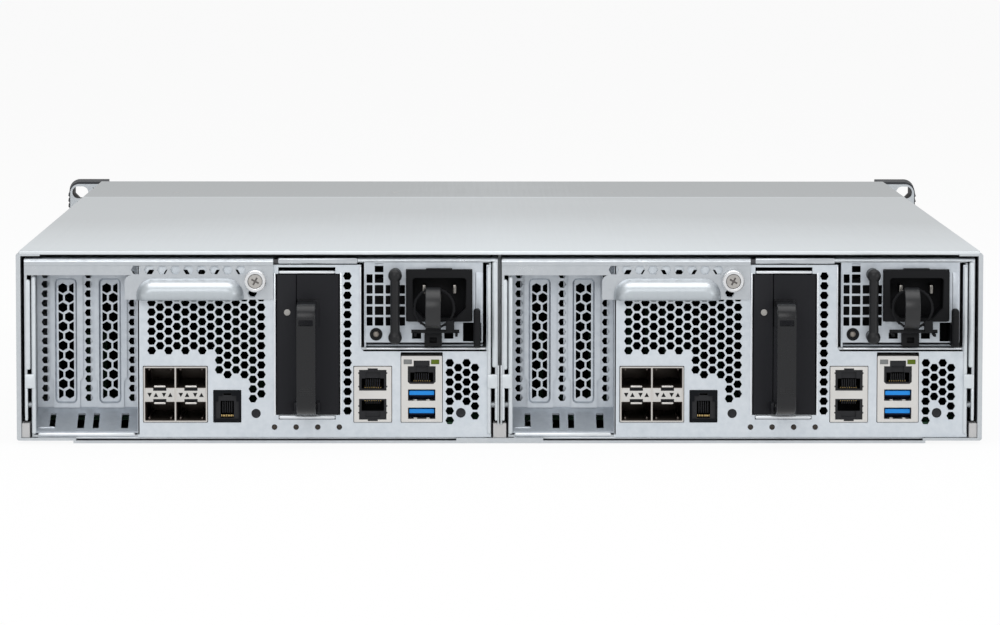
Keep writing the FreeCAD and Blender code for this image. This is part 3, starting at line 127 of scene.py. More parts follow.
class Finish:
    """A material: its constants go on the shader, and what varies is linked in with put."""

    def __init__(self, name, **constants):
        self.material = bpy.data.materials.new(name)
        self.material.use_nodes = True
        self.tree = self.material.node_tree
        self.shader = self.tree.nodes["Principled BSDF"]
        for socket, value in constants.items():
            self.shader.inputs[socket.replace("_", " ")].default_value = value

    def node(self, kind, settings=(), output=0, **sockets):
        """A new node: its settings first, then the values or links of its sockets, by name."""
        node = self.tree.nodes.new(kind)
        for name, value in dict(settings).items():
            setattr(node, name, value)
        for name, value in sockets.items():
            slot = node.inputs[int(name[1:]) if name[0] == "_" else name.replace("_", " ")]
            if isinstance(value, Value):
                self.tree.links.new(value.socket, slot)
            else:
                slot.default_value = value
        return Value(self.tree, node.outputs[output])

    def place(self, scale=(1.0, 1.0, 1.0), turn=(0.0, 0.0, 0.0)):
        """Object coordinates, scaled and turned."""
        where = self.node("ShaderNodeTexCoord", output=3)
        return self.node("ShaderNodeMapping", Vector=where, Scale=scale, Rotation=turn)

    def noise(self, scale, detail=3.0, roughness=0.5, where=None):
        """Cloudy noise between nought and one."""
        spot = where if where else self.place()
        return self.node(
            "ShaderNodeTexNoise", Vector=spot, Scale=scale, Detail=detail, Roughness=roughness
        )

    def blend(self, mask, low, high):
        """A colour between low and high, by the mask."""
        return self.node(
            "ShaderNodeMix", {"data_type": "RGBA"}, output=2, _0=mask, _6=(*low, 1.0),
            _7=(*high, 1.0)
        )

    def put(self, socket, value):
        self.tree.links.new(value.socket, self.shader.inputs[socket])

    def relief(self, height, depth, strength=1.0):
        """Raises the surface by the height, by up to the depth in metres."""
        self.put(
            "Normal", self.node("ShaderNodeBump", Height=height, Distance=depth, Strength=strength)
        )


def white_surround(name, own_colour, whiteness):
    """A surface that the camera and reflections see as nearly white and that takes a shadow."""
    finish = Finish(name, Base_Color=(*own_colour, 1.0), Roughness=0.9)
    tree = finish.tree
    seen = finish.node("ShaderNodeLightPath", output=0)
    mirrored = finish.node("ShaderNodeLightPath", output=3)
    glow = finish.node("ShaderNodeEmission", Color=(1.0, 1.0, 1.0, 1.0), Strength=1.0)
    mask = seen.math("MAXIMUM", mirrored) * whiteness
    mixed = tree.nodes.new("ShaderNodeMixShader")
    tree.links.new(mask.socket, mixed.inputs[0])
    tree.links.new(finish.shader.outputs[0], mixed.inputs[1])
    tree.links.new(glow.socket, mixed.inputs[2])
    tree.links.new(mixed.outputs[0], tree.nodes["Material Output"].inputs["Surface"])
    return finish.material


world = bpy.data.worlds.new("surround")
world.use_nodes = True
scene.world = world
sky = world.node_tree.nodes["Background"]
sky.inputs["Strength"].default_value = 0.62
camera_sky = world.node_tree.nodes.new("ShaderNodeBackground")
camera_sky.inputs["Strength"].default_value = 1.0
for background in (sky, camera_sky):
    background.inputs["Color"].default_value = (1.0, 1.0, 1.0, 1.0)
path = world.node_tree.nodes.new("ShaderNodeLightPath")
choice = world.node_tree.nodes.new("ShaderNodeMixShader")
world.node_tree.links.new(path.outputs["Is Camera Ray"], choice.inputs[0])
world.node_tree.links.new(sky.outputs[0], choice.inputs[1])
world.node_tree.links.new(camera_sky.outputs[0], choice.inputs[2])
world.node_tree.links.new(
    choice.outputs[0], world.node_tree.nodes["World Output"].inputs["Surface"]
)

bpy.ops.mesh.primitive_plane_add(size=24.0, location=(0.0, 4.0, -0.0004))
floor = bpy.context.object
floor.name = "floor"
floor.data.materials.append(white_surround("floor_paper", (0.85, 0.85, 0.85), 0.9))


# Chassis and covers: a tray folded from 1.2 mm galvanised sheet, closed by a rear lid and a front
# cover of the same sheet. The lid's rear edge is rolled, and flush studs hold the front cover.

MM = 0.001
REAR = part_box("chassis_base")[0][1] / MM


def joined(*shapes):
    """Several meshes as one: the points one after another, and face numbers moved to match."""
    points, faces, count = [], [], 0
    for shape_points, shape_faces in shapes:
        points.append(shape_points)
        faces.extend([tuple(i + count for i in face) for face in shape_faces])
        count += len(shape_points)
    return np.concatenate(points), faces


def moved(shape, x=0.0, y=0.0, z=0.0):
    points, faces = shape
    return points + np.array([x, y, z]), faces


def lofted(rings, closed_ends=True):
    """A skin over rings of equal length: point j of ring i sits at rings[i, j], and quads join each
    ring to the next; the first and last rings are filled."""
    count, length = rings.shape[:2]
    i, j = np.meshgrid(np.arange(count - 1), np.arange(length), indexing="ij")
    k = (j + 1) % length
    quads = np.stack(
        [i * length + j, i * length + k, (i + 1) * length + k, (i + 1) * length + j], -1
    )
    faces = [tuple(q) for q in quads.reshape(-1, 4).tolist()]
    if closed_ends:
        faces.append(tuple(range(length))[::-1])
        faces.append(tuple(range((count - 1) * length, count * length)))
    return rings.reshape(-1, 3), faces


def rounded_outline(width, height, radius, steps=5):
    """A rectangle with quarter-circle corners, centred on nought: each corner's centre plus the
    radius times the cosine and sine of an angle that runs on from corner to corner."""
    radius = min(radius, width / 2 - 1e-4, height / 2 - 1e-4)
    angles = np.linspace(0, np.pi / 2, steps)[None, :] + np.arange(4)[:, None] * np.pi / 2
    signs = np.array([[1, 1], [-1, 1], [-1, -1], [1, -1]])
    centres = signs * np.array([width / 2 - radius, height / 2 - radius])
    ring = centres[:, None, :] + radius * np.stack([np.cos(angles), np.sin(angles)], -1)
    return ring.reshape(-1, 2)


AXES = {"x": (1, 2, 0), "y": (0, 2, 1), "z": (0, 1, 2)}


def block(x0, x1, y0, y1, z0, z1, edge=0.3, corner=None, along="y", steps=3):
    """A block with rounded edges: rounded rectangles stacked along one axis, the end ones drawn in
    by edge times one minus a cosine while they move by edge times one minus a sine."""
    low, high = np.array([x0, y0, z0]), np.array([x1, y1, z1])
    u, v, w = AXES[along]
    size, centre = high - low, (low + high) / 2
    corner = edge if corner is None else corner
    angles = np.linspace(0, np.pi / 2, steps)
    inset = edge * (1 - np.sin(angles))
    rise = edge * (1 - np.cos(angles))
    insets = np.concatenate([inset, inset[::-1]])
    places = np.concatenate([low[w] + rise, high[w] - rise[::-1]])
    rings = np.zeros((len(insets), 4 * 5, 3))
    for k, (draw, place) in enumerate(zip(insets, places)):
        ring = rounded_outline(size[u] - 2 * draw, size[v] - 2 * draw, max(corner - draw, 0.02))
        rings[k, :, u] = centre[u] + ring[:, 0]
        rings[k, :, v] = centre[v] + ring[:, 1]
        rings[k, :, w] = place
    return lofted(rings)


def profile_run(profile, start, end, along="y"):
    """A flat outline carried in a straight line: the same ring at the start and at the end."""
    u, v, w = AXES[along]
    rings = np.zeros((2, len(profile), 3))
    rings[:, :, u] = profile[:, 0]
    rings[:, :, v] = profile[:, 1]
    rings[0, :, w] = start
    rings[1, :, w] = end
    return lofted(rings)


def piece(name, shape, material, body, nodes=(), smooth=35.0, drop=(0.0, 0.0, 0.0)):
    """Makes a mesh object from a shape in millimetres and rides it on its body."""
    points, faces = shape
    mesh = bpy.data.meshes.new(name)
    mesh.from_pydata(((points + np.array(drop)) * MM).tolist(), [], faces)
    shell = bmesh.new()
    shell.from_mesh(mesh)
    bmesh.ops.recalc_face_normals(shell, faces=shell.faces)
    shell.to_mesh(mesh)
    shell.free()
    mesh.shade_smooth()
    mesh.set_sharp_from_angle(angle=math.radians(smooth))
    mesh.materials.append(material)
    made = bpy.data.objects.new(name, mesh)
    scene.collection.objects.link(made)
    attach(made, body)
    if nodes:
        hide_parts(*nodes)
    return made


def dress(node, material, edge=0.0):
    """Gives a CAD node that keeps its shape a finished material, and breaks its sharp edges by as
    many millimetres as the edge says."""
    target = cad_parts[node]
    target.data.materials.clear()
    target.data.materials.append(material)
    if edge:
        weld = target.modifiers.new("weld", "WELD")
        weld.merge_threshold = 0.00001
        bevel = target.modifiers.new("bevel", "BEVEL")
        bevel.width, bevel.segments = edge * MM, 2
        bevel.limit_method, bevel.angle_limit = "ANGLE", math.radians(40)
        bevel.harden_normals = True


def galvanised(name, pale, dark, roughness, metallic=0.75):
    """Zinc-coated sheet: broad clouds and fine grains of a slightly darker grey, with a grain of
    small crystals that also changes the gloss."""
    finish = Finish(name, Metallic=metallic)
    clouds = finish.noise(22.0, 4.0, 0.55)
    grains = finish.noise(420.0, 3.0, 0.6)
    crystals = finish.node(
        "ShaderNodeTexVoronoi", Vector=finish.place(), Scale=260.0, Randomness=1.0
    )
    mask = clouds * 0.75 + grains * 0.6 + crystals * 0.25 - 0.35
    finish.put("Base Color", finish.blend(mask, dark, pale))
    finish.put("Roughness", (1.0 - mask) * 0.22 + (roughness - 0.1))
    finish.relief(grains * 0.6 + crystals * 0.4, 0.00003, 0.35)
    return finish.material


zinc_sheet = galvanised("zinc_sheet", (0.60, 0.63, 0.65), (0.47, 0.50, 0.53), 0.42)

# Painted light: the covers' sheet is paler towards the rear edge and along the covers' seam
SEAM_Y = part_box("front_cover")[0][1]


def cover_sheet(name, pale, dark):
    """Cover sheet: its tone goes from dark to pale with the distance behind the row's middle, a
    painted light gradient, with drawn streaks, clouds and grains. Painted shade darkens it a little
    towards the sides, and a narrow painted highlight runs along the seam."""
    cover = Finish(name, Metallic=0.45)
    along = cover.node("ShaderNodeSeparateXYZ", output=1, Vector=cover.place())
    across = cover.node("ShaderNodeSeparateXYZ", output=0, Vector=cover.place())
    side_shade = across.math("ABSOLUTE")
    rear_light = cover.node("ShaderNodeClamp", Value=along * -4.0)
    seam_highlight = cover.node("ShaderNodeClamp", Value=1.0 - (along - SEAM_Y).math("ABSOLUTE") * 260.0)
    streaks = cover.noise(1.0, 4.0, 0.6, cover.place(scale=(600.0, 9.0, 600.0)))
    grains = cover.noise(420.0, 3.0, 0.6)
    clouds = cover.noise(14.0, 4.0, 0.55)
    tone = streaks * 0.18 + clouds * 0.22 + grains * 0.1 - 0.17
    cover.put(
        "Base Color",
        cover.blend(rear_light * 0.9 + tone + seam_highlight - side_shade * 1.5, dark, pale)
    )
    cover.put("Roughness", 0.54 - tone * 0.3 - rear_light * 0.04)
    cover.relief(grains, 0.00002, 0.3)
    return cover.material


zinc_cover = cover_sheet("zinc_cover", (0.74, 0.785, 0.815), (0.56, 0.585, 0.60))
# Painted shade: the front cover takes a darker copy of the same sheet
zinc_front_cover_shaded = cover_sheet("zinc_front_cover_shaded", (0.74, 0.785, 0.815), (0.445, 0.463, 0.472))
zinc_panel = galvanised("zinc_panel", (0.73, 0.77, 0.81), (0.53, 0.58, 0.63), 0.42)
# Painted shade: a darker copy of the panel's zinc for the sunk bay and its fillers, also on the
# supply case
zinc_shaded = galvanised("zinc_shaded", (0.62, 0.66, 0.70), (0.44, 0.48, 0.53), 0.42)
for node in ("chassis_base", "drive_cage"):
    dress(node, zinc_sheet)
for node in ("top_cover", "controller_cover_a", "controller_cover_b"):
    dress(node, zinc_cover, 0.3)
dress("front_cover", zinc_front_cover_shaded, 0.3)
(lid_x0, lid_y0, _), (lid_x1, _, lid_z1) = (np.array(corner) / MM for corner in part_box("top_cover"))
lid_roll = block(
    lid_x0 + 0.2, lid_x1 - 0.2, lid_y0 - 0.25, lid_y0 + 1.3, lid_z1 - 1.7, lid_z1, 0.55, along="x"
)
piece("lid_rear_roll", lid_roll, zinc_cover, "chassis")


# Hemmed rear edges of the centre wall's two sheets, below the handles' stop tabs
HEM_INNER, HEM_OUTER, HEM_LOW, HEM_HIGH = 0.3, 1.1, 8.6, 36.0
hems = [
    block(x0, x1, -0.2, 1.6, HEM_LOW, HEM_HIGH, 0.25, along="z")
    for x0, x1 in ((-HEM_OUTER, -HEM_INNER), (HEM_INNER, HEM_OUTER))
]
piece("centre_wall_hems", moved(joined(*hems), y=REAR), zinc_sheet, "chassis")


# Rear panel of a canister: one sheet of bright galvanised steel, punched with staggered hexagons
# and a cut-out for each connector, with a bay for two expansion slots that is sunk behind it.

ARM_ZONE = 3.4
LEFT = {side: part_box(f"controller_cover_{side}")[0][0] / MM - ARM_ZONE for side in "ab"}


Box = namedtuple("Box", "x0 y0 z0 x1 y1 z1")


def near(node):
    """The limits of a node of the left canister, in the canister's own millimetres."""
    corner = np.array([LEFT["a"], REAR, 0.0])
    low, high = (np.array(place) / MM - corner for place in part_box(node + "_a"))
    return Box(*low, *high)


def both(name, shape, material, body="canister", nodes=(), smooth=35.0):
    """Puts a canister's piece into the left and into the right canister."""
    for side, left in LEFT.items():
        stand_for = [f"{node}_{side}" for node in nodes]
        piece(
            f"{name}_{side}", shape, material, f"{body}_{side}", stand_for, smooth,
            (left, REAR, 0.0)
        )


def box_outline(x0, x1, z0, z1, radius=0.0):
    """A rectangle between two corners, with round corners where a radius is given."""
    if radius:
        ring = rounded_outline(x1 - x0, z1 - z0, radius)
    else:
        ring = np.array([[1, 1], [-1, 1], [-1, -1], [1, -1]]) * np.array([x1 - x0, z1 - z0]) / 2
    return ring + np.array([x0 + x1, z0 + z1]) / 2


def about(centre, half):
    """The two limits that lie equally far from a centre."""
    return centre - half, centre + half


def circle(x, z, radius, sides=28, turn=0.0):
    """Points round a centre: the radius times the cosine and sine of equal parts of a turn."""
    angles = np.arange(sides) * 2 * np.pi / sides + turn
    return np.array([x, z]) + radius * np.stack([np.cos(angles), np.sin(angles)], -1)


def arc(x, z, radius, start, end, steps=6):
    """Points on a part of a circle: the centre plus the radius times the cosine and sine of angles
    that go from start to end in equal steps."""
    angles = np.linspace(start, end, steps)
    return np.array([x, z]) + radius * np.stack([np.cos(angles), np.sin(angles)], -1)


def pierced(outer, holes, low, high, along="y"):
    """A flat sheet with holes: the triangles between its outlines lie at low and at high along the
    axis, and each outline is joined to its copy by a wall of quads."""
    u, v, w = AXES[along]
    loops = [outer, *holes]
    starts = np.cumsum([0] + [len(loop) for loop in loops])
    rings = [list(range(a, b)) for a, b in zip(starts[:-1], starts[1:])]
    corners = [Vector(point) for point in np.concatenate(loops).tolist()]
    made = delaunay_2d_cdt(corners, [], rings, 0, 1e-7, True)
    faces = [tuple(face) for face, source in zip(made[2], made[5]) if list(source) == [0]]

    def laid(flat, place):
        """The flat points at one place along the axis."""
        points = np.zeros((len(flat), 3))
        points[:, u], points[:, v], points[:, w] = flat[:, 0], flat[:, 1], place
        return points

    flat = np.array([tuple(point) for point in made[0]])
    shapes = [(laid(flat, low), faces), (laid(flat, high), [face[::-1] for face in faces])]
    for loop in loops:
        walls = np.stack([laid(loop, low), laid(loop, high)])
        shapes.append(lofted(walls, closed_ends=False))
    return joined(*shapes)


HEX = 2.04
HEX_PITCH = 4.44
HEX_STEP = 3.87
FIELD_TOP = 64.85
PANEL = near("slot_plate")
PANEL_Y = PANEL.y0
PANEL_THICK = 1.0
WALL_OUT = PANEL.x1
PANEL_TOP = 82.2
SLOT_RIGHT = 52.02
SILL = 2.0
GAP = 0.3
CAGE, CONSOLE = near("sfp_cage"), near("console_jack")
LAN, COMBO = near("lan_stack"), near("lan_usb_stack")
BATTERY, SUPPLY = near("battery_module"), near("psu_case")
POWER, RESET = near("power_button"), near("reset_button")
POWER_AT = np.array([POWER.x0 + POWER.x1, POWER.z0 + POWER.z1]) / 2
RESET_AT = np.array([RESET.x0 + RESET.x1, RESET.z0 + RESET.z1]) / 2
PIPES_X = (114.9, 124.85, 134.8, 144.7)
PIPES_Z = 7.3


def staggered(left, columns, top, rows):
    """Centres on a grid of columns and rows, where every second column sits half a pitch lower."""
    k, j = np.meshgrid(np.arange(columns), np.arange(rows), indexing="ij")
    x = left + HEX_STEP * k
    z = top - HEX_PITCH * (j + 0.5 * (k % 2))
    return np.stack([x.ravel(), z.ravel()], -1)


def hexagons(centres, radius=HEX, turn=0.0):
    """Six corners round every centre, as one outline each."""
    return list(np.asarray(centres)[:, None, :] + circle(0, 0, radius, 6, turn)[None])


def cut_out(box, extra=0.0):
    """The panel's hole round a connector."""
    return box_outline(box.x0 - GAP, box.x1 + GAP, box.z0 - GAP, box.z1 + GAP + extra, 0.4)


SCREW_AT = (POWER_AT[0], 75.1)
main_field = staggered(CAGE.x0 + 3.8, 14, FIELD_TOP + 3 * HEX_PITCH, 15)
# The field's lower edge steps down past the module cage and past the console jack
past_cage, past_console = main_field[:, 0] > 88.5, main_field[:, 0] > 102.4
lowest = np.where(past_console, 19.0, np.where(past_cage, 30.0, 41.0))
from_screw = np.hypot(*(main_field - SCREW_AT).T)
main_field = main_field[(main_field[:, 1] > lowest) & (from_screw > 4.6)]
side_field = staggered(COMBO.x1 + 3.5, 4, 37.0, 7)
from_reset = np.hypot(*(side_field - RESET_AT).T)
side_field = side_field[(side_field[:, 1] > 9.7) & (from_reset > 4.9)]
COLUMN_X, COLUMN_TOP, COLUMN_ROWS = 148.52, 77.0, 15
column_z = COLUMN_TOP - HEX_PITCH * np.arange(COLUMN_ROWS)
column = np.stack([np.full(COLUMN_ROWS, COLUMN_X), column_z], -1)
SUPPLY_FLOOR = SUPPLY.z0 - GAP
bay_left, bay_right = SUPPLY.x0 - 1.4, SUPPLY.x1 + 1.7
SLIT_LOW = SUPPLY_FLOOR - 1.7
panel_edge = np.array([
    (SLOT_RIGHT, PANEL.z0), (WALL_OUT, PANEL.z0), (WALL_OUT, PANEL_TOP), (bay_right, PANEL_TOP),
    (bay_right, SLIT_LOW), (bay_left + 1.2, SLIT_LOW), (bay_left, SLIT_LOW + 1.2),
    (bay_left, PANEL_TOP),
    (SLOT_RIGHT, PANEL_TOP),
])
panel_holes = hexagons(np.concatenate([main_field, side_field, column]))
panel_holes += [cut_out(CAGE), cut_out(CONSOLE), cut_out(LAN), cut_out(COMBO, extra=1.4)]
LIP_X = (BATTERY.x0 + 0.8, BATTERY.x1 - 1.6)
HOLE_X = (BATTERY.x0 - 0.45, BATTERY.x1 + 0.45)
HOLE_Z, LIP_Z = (12.9, 78.1), (10.85, 81.1)
panel_holes.append(np.array([
    (HOLE_X[0], HOLE_Z[0]), (LIP_X[0], HOLE_Z[0]), (LIP_X[0], LIP_Z[0]), (LIP_X[1], LIP_Z[0]),
    (LIP_X[1], HOLE_Z[0]), (HOLE_X[1], HOLE_Z[0]), (HOLE_X[1], HOLE_Z[1]), (LIP_X[1], HOLE_Z[1]),
    (LIP_X[1], LIP_Z[1]), (LIP_X[0], LIP_Z[1]), (LIP_X[0], HOLE_Z[1]), (HOLE_X[0], HOLE_Z[1]),
]))
panel_holes += [circle(*POWER_AT, 2.15), circle(*RESET_AT, 2.25), circle(*SCREW_AT, 2.3)]
panel_holes += [circle(x, PIPES_Z, 1.3, 20) for x in PIPES_X]
rear_sheet = pierced(panel_edge, panel_holes, PANEL_Y, PANEL_Y + PANEL_THICK)

# The bay's side wall, its back with three rows of hexagons, and its sloping foot with four slots
BAY_DEEP = 18.0
BAY_Y = PANEL_Y + BAY_DEEP
BAY_LEFT = ARM_ZONE + 1.3
FOOT_Z = 14.0
side_wall = block(SLOT_RIGHT, SLOT_RIGHT + 1, PANEL_Y, BAY_Y + 1, PANEL.z0 + 1, PANEL_TOP, 0.2)
FILLERS_X = (18.35, 38.65)
COLUMNS_X = (8.45, 28.45, 48.65)
ROWS_TOP, ROWS_PITCH, ROWS_COUNT = 76.2, 4.39, 14
rows_z = ROWS_TOP - ROWS_PITCH * np.arange(ROWS_COUNT)
rows = np.stack(np.meshgrid(COLUMNS_X, rows_z, indexing="ij"), -1)
bay_holes = hexagons(rows.reshape(-1, 2), 1.85)
bay_holes += [box_outline(x - 5.5, x + 4.8, 16.5, 74.8, 1.0) for x in FILLERS_X]
bay_back = pierced(
    box_outline(BAY_LEFT, SLOT_RIGHT + 1, FOOT_Z, PANEL_TOP), bay_holes, BAY_Y, BAY_Y + 1
)
strips = [
    block(x + 0.55, x + 2.4, BAY_Y + 2.2, BAY_Y + 3.0, FOOT_Z, PANEL_TOP, 0.2) for x in COLUMNS_X
]
foot_start = np.array([PANEL_Y + 0.5, PANEL.z0 + SILL - 0.2])
foot_run = np.array([BAY_Y, FOOT_Z]) - foot_start
foot_long = np.hypot(*foot_run)
FOOT_SLOTS_X = ((11.0, 13.7), (23.8, 27.1), (31.0, 33.8), (44.0, 47.4))
foot_slots = [box_outline(x0, x1, 2.6, 14.8, 0.3) for x0, x1 in FOOT_SLOTS_X]
points, faces = pierced(box_outline(BAY_LEFT, SLOT_RIGHT, 0, foot_long), foot_slots, 0.0, 0.9)
ahead, up = foot_run / foot_long
foot = (
    np.stack([
        points[:, 0],
        foot_start[0] + points[:, 2] * ahead - points[:, 1] * up,
        foot_start[1] + points[:, 2] * up + points[:, 1] * ahead,
    ], -1),
    faces,
)
sill_rod = block(5.6, 14.0, PANEL_Y + 2.4, PANEL_Y + 4.6, 5.3, 7.3, 0.95, along="x")
both("rear_panel", rear_sheet, zinc_panel, nodes=["slot_plate"])
both("slot_bay", joined(side_wall, bay_back, *strips, foot, sill_rod), zinc_shaded)
for side in "ab":
    dress(f"controller_tray_{side}", zinc_sheet)

# The rolled sill under the bay, the folded edges round the battery and under the power supply, and
# the inner side of the bay's left wall, whose dark colour is painted shade
handle_steel = galvanised("handle_steel", (0.60, 0.63, 0.66), (0.45, 0.48, 0.51), 0.30, 0.9)
HEM_X = (6.0, 211.0)
rolled = [
    block(
        ARM_ZONE + 2.6, SLOT_RIGHT - 1.2, PANEL_Y, PANEL_Y + 2.4, PANEL.z0, PANEL.z0 + 2.3, 1.1,
        along="x"
    ),
    block(HOLE_X[0] - 0.95, HOLE_X[0], PANEL_Y - 0.45, PANEL_Y + 1.2, 12.6, 78.6, 0.3, along="z"),
    block(HOLE_X[1], HOLE_X[1] + 0.95, PANEL_Y - 0.45, PANEL_Y + 1.2, 12.6, 78.6, 0.3, along="z"),
    block(*HEM_X, PANEL_Y + 0.2, PANEL_Y + 2.0, PANEL.z0 - 0.72, PANEL.z0 - 0.34, 0.12, along="x"),
    block(*HEM_X, PANEL_Y + 1.2, PANEL_Y + 2.0, PANEL.z0 - 0.5, PANEL.z0 + 0.3, 0.12, along="x"),
    block(
        bay_left - 0.75, bay_left + 0.1, PANEL_Y - 0.4, PANEL_Y + 1.0, SLIT_LOW + 2.0,
        PANEL_TOP - 0.6, 0.4, along="z"
    ),
    block(
        bay_left + 2.4, bay_right - 0.6, PANEL_Y - 0.3, PANEL_Y + 1.0, SUPPLY_FLOOR - 0.85,
        SUPPLY_FLOOR, 0.4, along="x"
    ),
]
for lip_z, shelf_z in (((78.15, 79.45), (78.3, 79.3)), ((11.15, 12.55), (11.3, 12.4))):
    rolled += [
        block(
            LIP_X[0] + 0.3, LIP_X[1] - 0.3, PANEL_Y - 0.7, PANEL_Y + 1.6, *lip_z, 0.45, along="x"
        ),
        block(
            LIP_X[0] - 0.5, LIP_X[1] + 0.5, PANEL_Y + 1.0, PANEL_Y + 4.0, *shelf_z, 0.2, along="x"
        ),
    ]
# Painted highlight: the rolled and folded edges take a paler copy of the zinc
edge_highlight = galvanised("edge_highlight", (0.80, 0.83, 0.86), (0.68, 0.71, 0.74), 0.32, 0.6)
both("panel_edges", joined(*rolled), edge_highlight)
# Painted shade: a dark copy of the zinc for the inner side of the bay's left wall
shaded_steel = galvanised("shaded_steel", (0.34, 0.36, 0.38), (0.20, 0.21, 0.22), 0.4, 0.8)
inner_side = block(
    ARM_ZONE + 1.02, ARM_ZONE + 1.28, PANEL_Y + 1.4, BAY_Y - 0.2, PANEL.z0 + 2, PANEL_TOP, 0.05
)
both("bay_inner_side", inner_side, shaded_steel)


# Slot fillers: two narrow plates of the panel's sheet, each with a sunk rounded window of whole and
# half hexagons, chamfered shoulders near the foot and a tab that is folded over at the top.

FILLER_Y = BAY_Y - GAP - 1.0
WINDOW_DEPTH = 1.45
SUNK_HALF, SUNK_Z, SUNK_ROUND = 5.1, (16.6, 74.7), 2.2
FILLER_HEX, FILLER_PITCH, FILLER_TOP = 2.37, 4.45, 70.0
for number, centre in enumerate(FILLERS_X):
    shoulders = np.array([
        (-6.0, 14.6), (6.0, 14.6), (6.0, 27.0), (7.5, 28.7),
        (7.5, 80.4), (-7.5, 80.4), (-7.5, 28.7), (-6.0, 27.0),
    ]) + np.array([centre, 0.0])
    middle = centre - 0.35
    sunk = box_outline(*about(middle, SUNK_HALF), *SUNK_Z, SUNK_ROUND)
    frame_plate = pierced(shoulders, [sunk], FILLER_Y, FILLER_Y + 1)
    row = np.arange(12)
    row_z = FILLER_TOP - FILLER_PITCH * row
    full, half = (
        hexagons(np.stack([middle + np.where(row % 2, x, -x), row_z], -1), FILLER_HEX, np.pi / 6)
        for x in (1.5, -3.45)
    )
    half = [np.stack([np.clip(h[:, 0], *about(middle, 3.55)), h[:, 1]], -1) for h in half]
    window = pierced(
        box_outline(*about(middle, 4.9), 16.8, 74.5, 2.0), full + half, FILLER_Y + WINDOW_DEPTH,
        FILLER_Y + WINDOW_DEPTH + 0.4
    )
    rings = np.zeros((2, len(sunk), 3))
    for ring, (inset, depth) in enumerate(((0.0, 0.0), (0.85, WINDOW_DEPTH + 0.1))):
        edge = box_outline(
            middle - SUNK_HALF + inset, middle + SUNK_HALF - inset, SUNK_Z[0] + inset,
            SUNK_Z[1] - inset,
            SUNK_ROUND - inset,
        )
        rings[ring, :, 0], rings[ring, :, 2] = edge.T
        rings[ring, :, 1] = FILLER_Y + depth
    rim = lofted(rings, closed_ends=False)
    tab = block(*about(centre, 7.5), FILLER_Y - 9, FILLER_Y + 1, 80.4, 81.4, 0.3)
    both(
        f"slot_filler_{number}", joined(frame_plate, window, rim, tab), zinc_shaded,
        nodes=["slot_blanks"] if number == 0 else [],
    )


# Pull handle: one sheet bent over at the top, with a row of hexagons, a drawn grip for the fingers
# and two arms that swing on low pins. The rear edges of the arms are rolled to a smooth rod.

HANDLE = near("bail_handle")
HANDLE_LOW, HANDLE_STEP, HANDLE_STEP_Z = 66.3, 46.4, 77.5
HANDLE_TOP = HANDLE.z1
HANDLE_BACK = HANDLE.y1
HANDLE_LEFT, HANDLE_RIGHT = HANDLE.x0, 114.52
BEND, SHEET, BAR_DEEP = 1.9, 1.2, 3.0
BAR_RIGHT = HANDLE.x1
THIN_LEFT = SUPPLY.x0 - 2.9
GRIP = (51.7, 100.9)
GRIP_TOP, GRIP_PROUD = 76.0, 9.0
CREASE_Z, CREASE = 81.8, 0.18
PIN_AT = (6.0, 17.3)

# The sheet's edge steps down with a round corner and goes round the grip, just inside its outline
HALF_PI = np.pi / 2
STEP_CORNER, HOLE_CORNER, INSIDE = 3.0, 7.0, 0.6
crest = HANDLE_TOP - BEND
hole_x = (GRIP[0] + INSIDE, GRIP[1] - INSIDE)
hole_z = GRIP_TOP - INSIDE - HOLE_CORNER
plate_edge = np.concatenate([
    [(HANDLE_LEFT, HANDLE_STEP_Z)],
    arc(HANDLE_STEP + STEP_CORNER, HANDLE_STEP_Z - STEP_CORNER, STEP_CORNER, HALF_PI, np.pi),
    [(HANDLE_STEP, HANDLE_LOW), (hole_x[0], HANDLE_LOW)],
    arc(hole_x[0] + HOLE_CORNER, hole_z, HOLE_CORNER, np.pi, HALF_PI),
    arc(hole_x[1] - HOLE_CORNER, hole_z, HOLE_CORNER, HALF_PI, 0.0),
    [(hole_x[1], HANDLE_LOW), (HANDLE_RIGHT, HANDLE_LOW)],
    [(HANDLE_RIGHT, crest), (HANDLE_LEFT, crest)],
])
ROW_LEFT, ROW_PITCH, ROW_COUNT, ROW_Z = 51.7, 5.99, 9, 80.0
row_x = ROW_LEFT + ROW_PITCH * np.arange(ROW_COUNT)
plate_holes = hexagons(np.stack([row_x, np.full(ROW_COUNT, ROW_Z)], -1), 2.4)
plate_holes += hexagons([(104.9, 69.2)], 2.3)
plate = pierced(plate_edge, plate_holes, 0.0, SHEET)


def bent_top(x0, x1, start, back):
    """The bend over the handle: an outer quarter circle from a height up to the top, on to the
    back, and an inner quarter circle home, carried along X."""
    rise = start - crest
    outer_low = np.arcsin(np.clip(rise / BEND, 0, 1))
    inner_low = np.arcsin(np.clip(rise / (BEND - SHEET), 0, 1))
    outer = arc(BEND, crest, BEND, np.pi - outer_low, HALF_PI, 7)
    if rise <= 0:
        crease = [(0.0, CREASE_Z), (-CREASE, CREASE_Z + 0.12)]
        outer = np.concatenate([crease, outer - np.array([CREASE, 0.0])])
    inner = arc(BEND, crest, BEND - SHEET, HALF_PI, np.pi - inner_low, 7)
    ends = np.array([(back + 0.01, HANDLE_TOP), (back + 0.01, HANDLE_TOP - SHEET)])
    profile = np.concatenate([outer, ends, inner])
    return profile_run(profile, x0, x1, along="x")


def bar_run(x0, x1, low):
    """A plain bar across the battery or the power supply, with its rear edges rounded."""
    return block(x0, x1, 0.0, BAR_DEEP, low, HANDLE_TOP - 0.02, 0.7, along="x")


tops = [
    bent_top(HANDLE_LEFT, HANDLE_RIGHT, crest, HANDLE_BACK),
    bar_run(HANDLE_RIGHT + 2.1, THIN_LEFT, HANDLE_TOP - 2.7),
    bent_top(THIN_LEFT, BAR_RIGHT, HANDLE_TOP - 1.5, HANDLE_BACK),
]

CORNER = 8.0
CROWN = 5.6


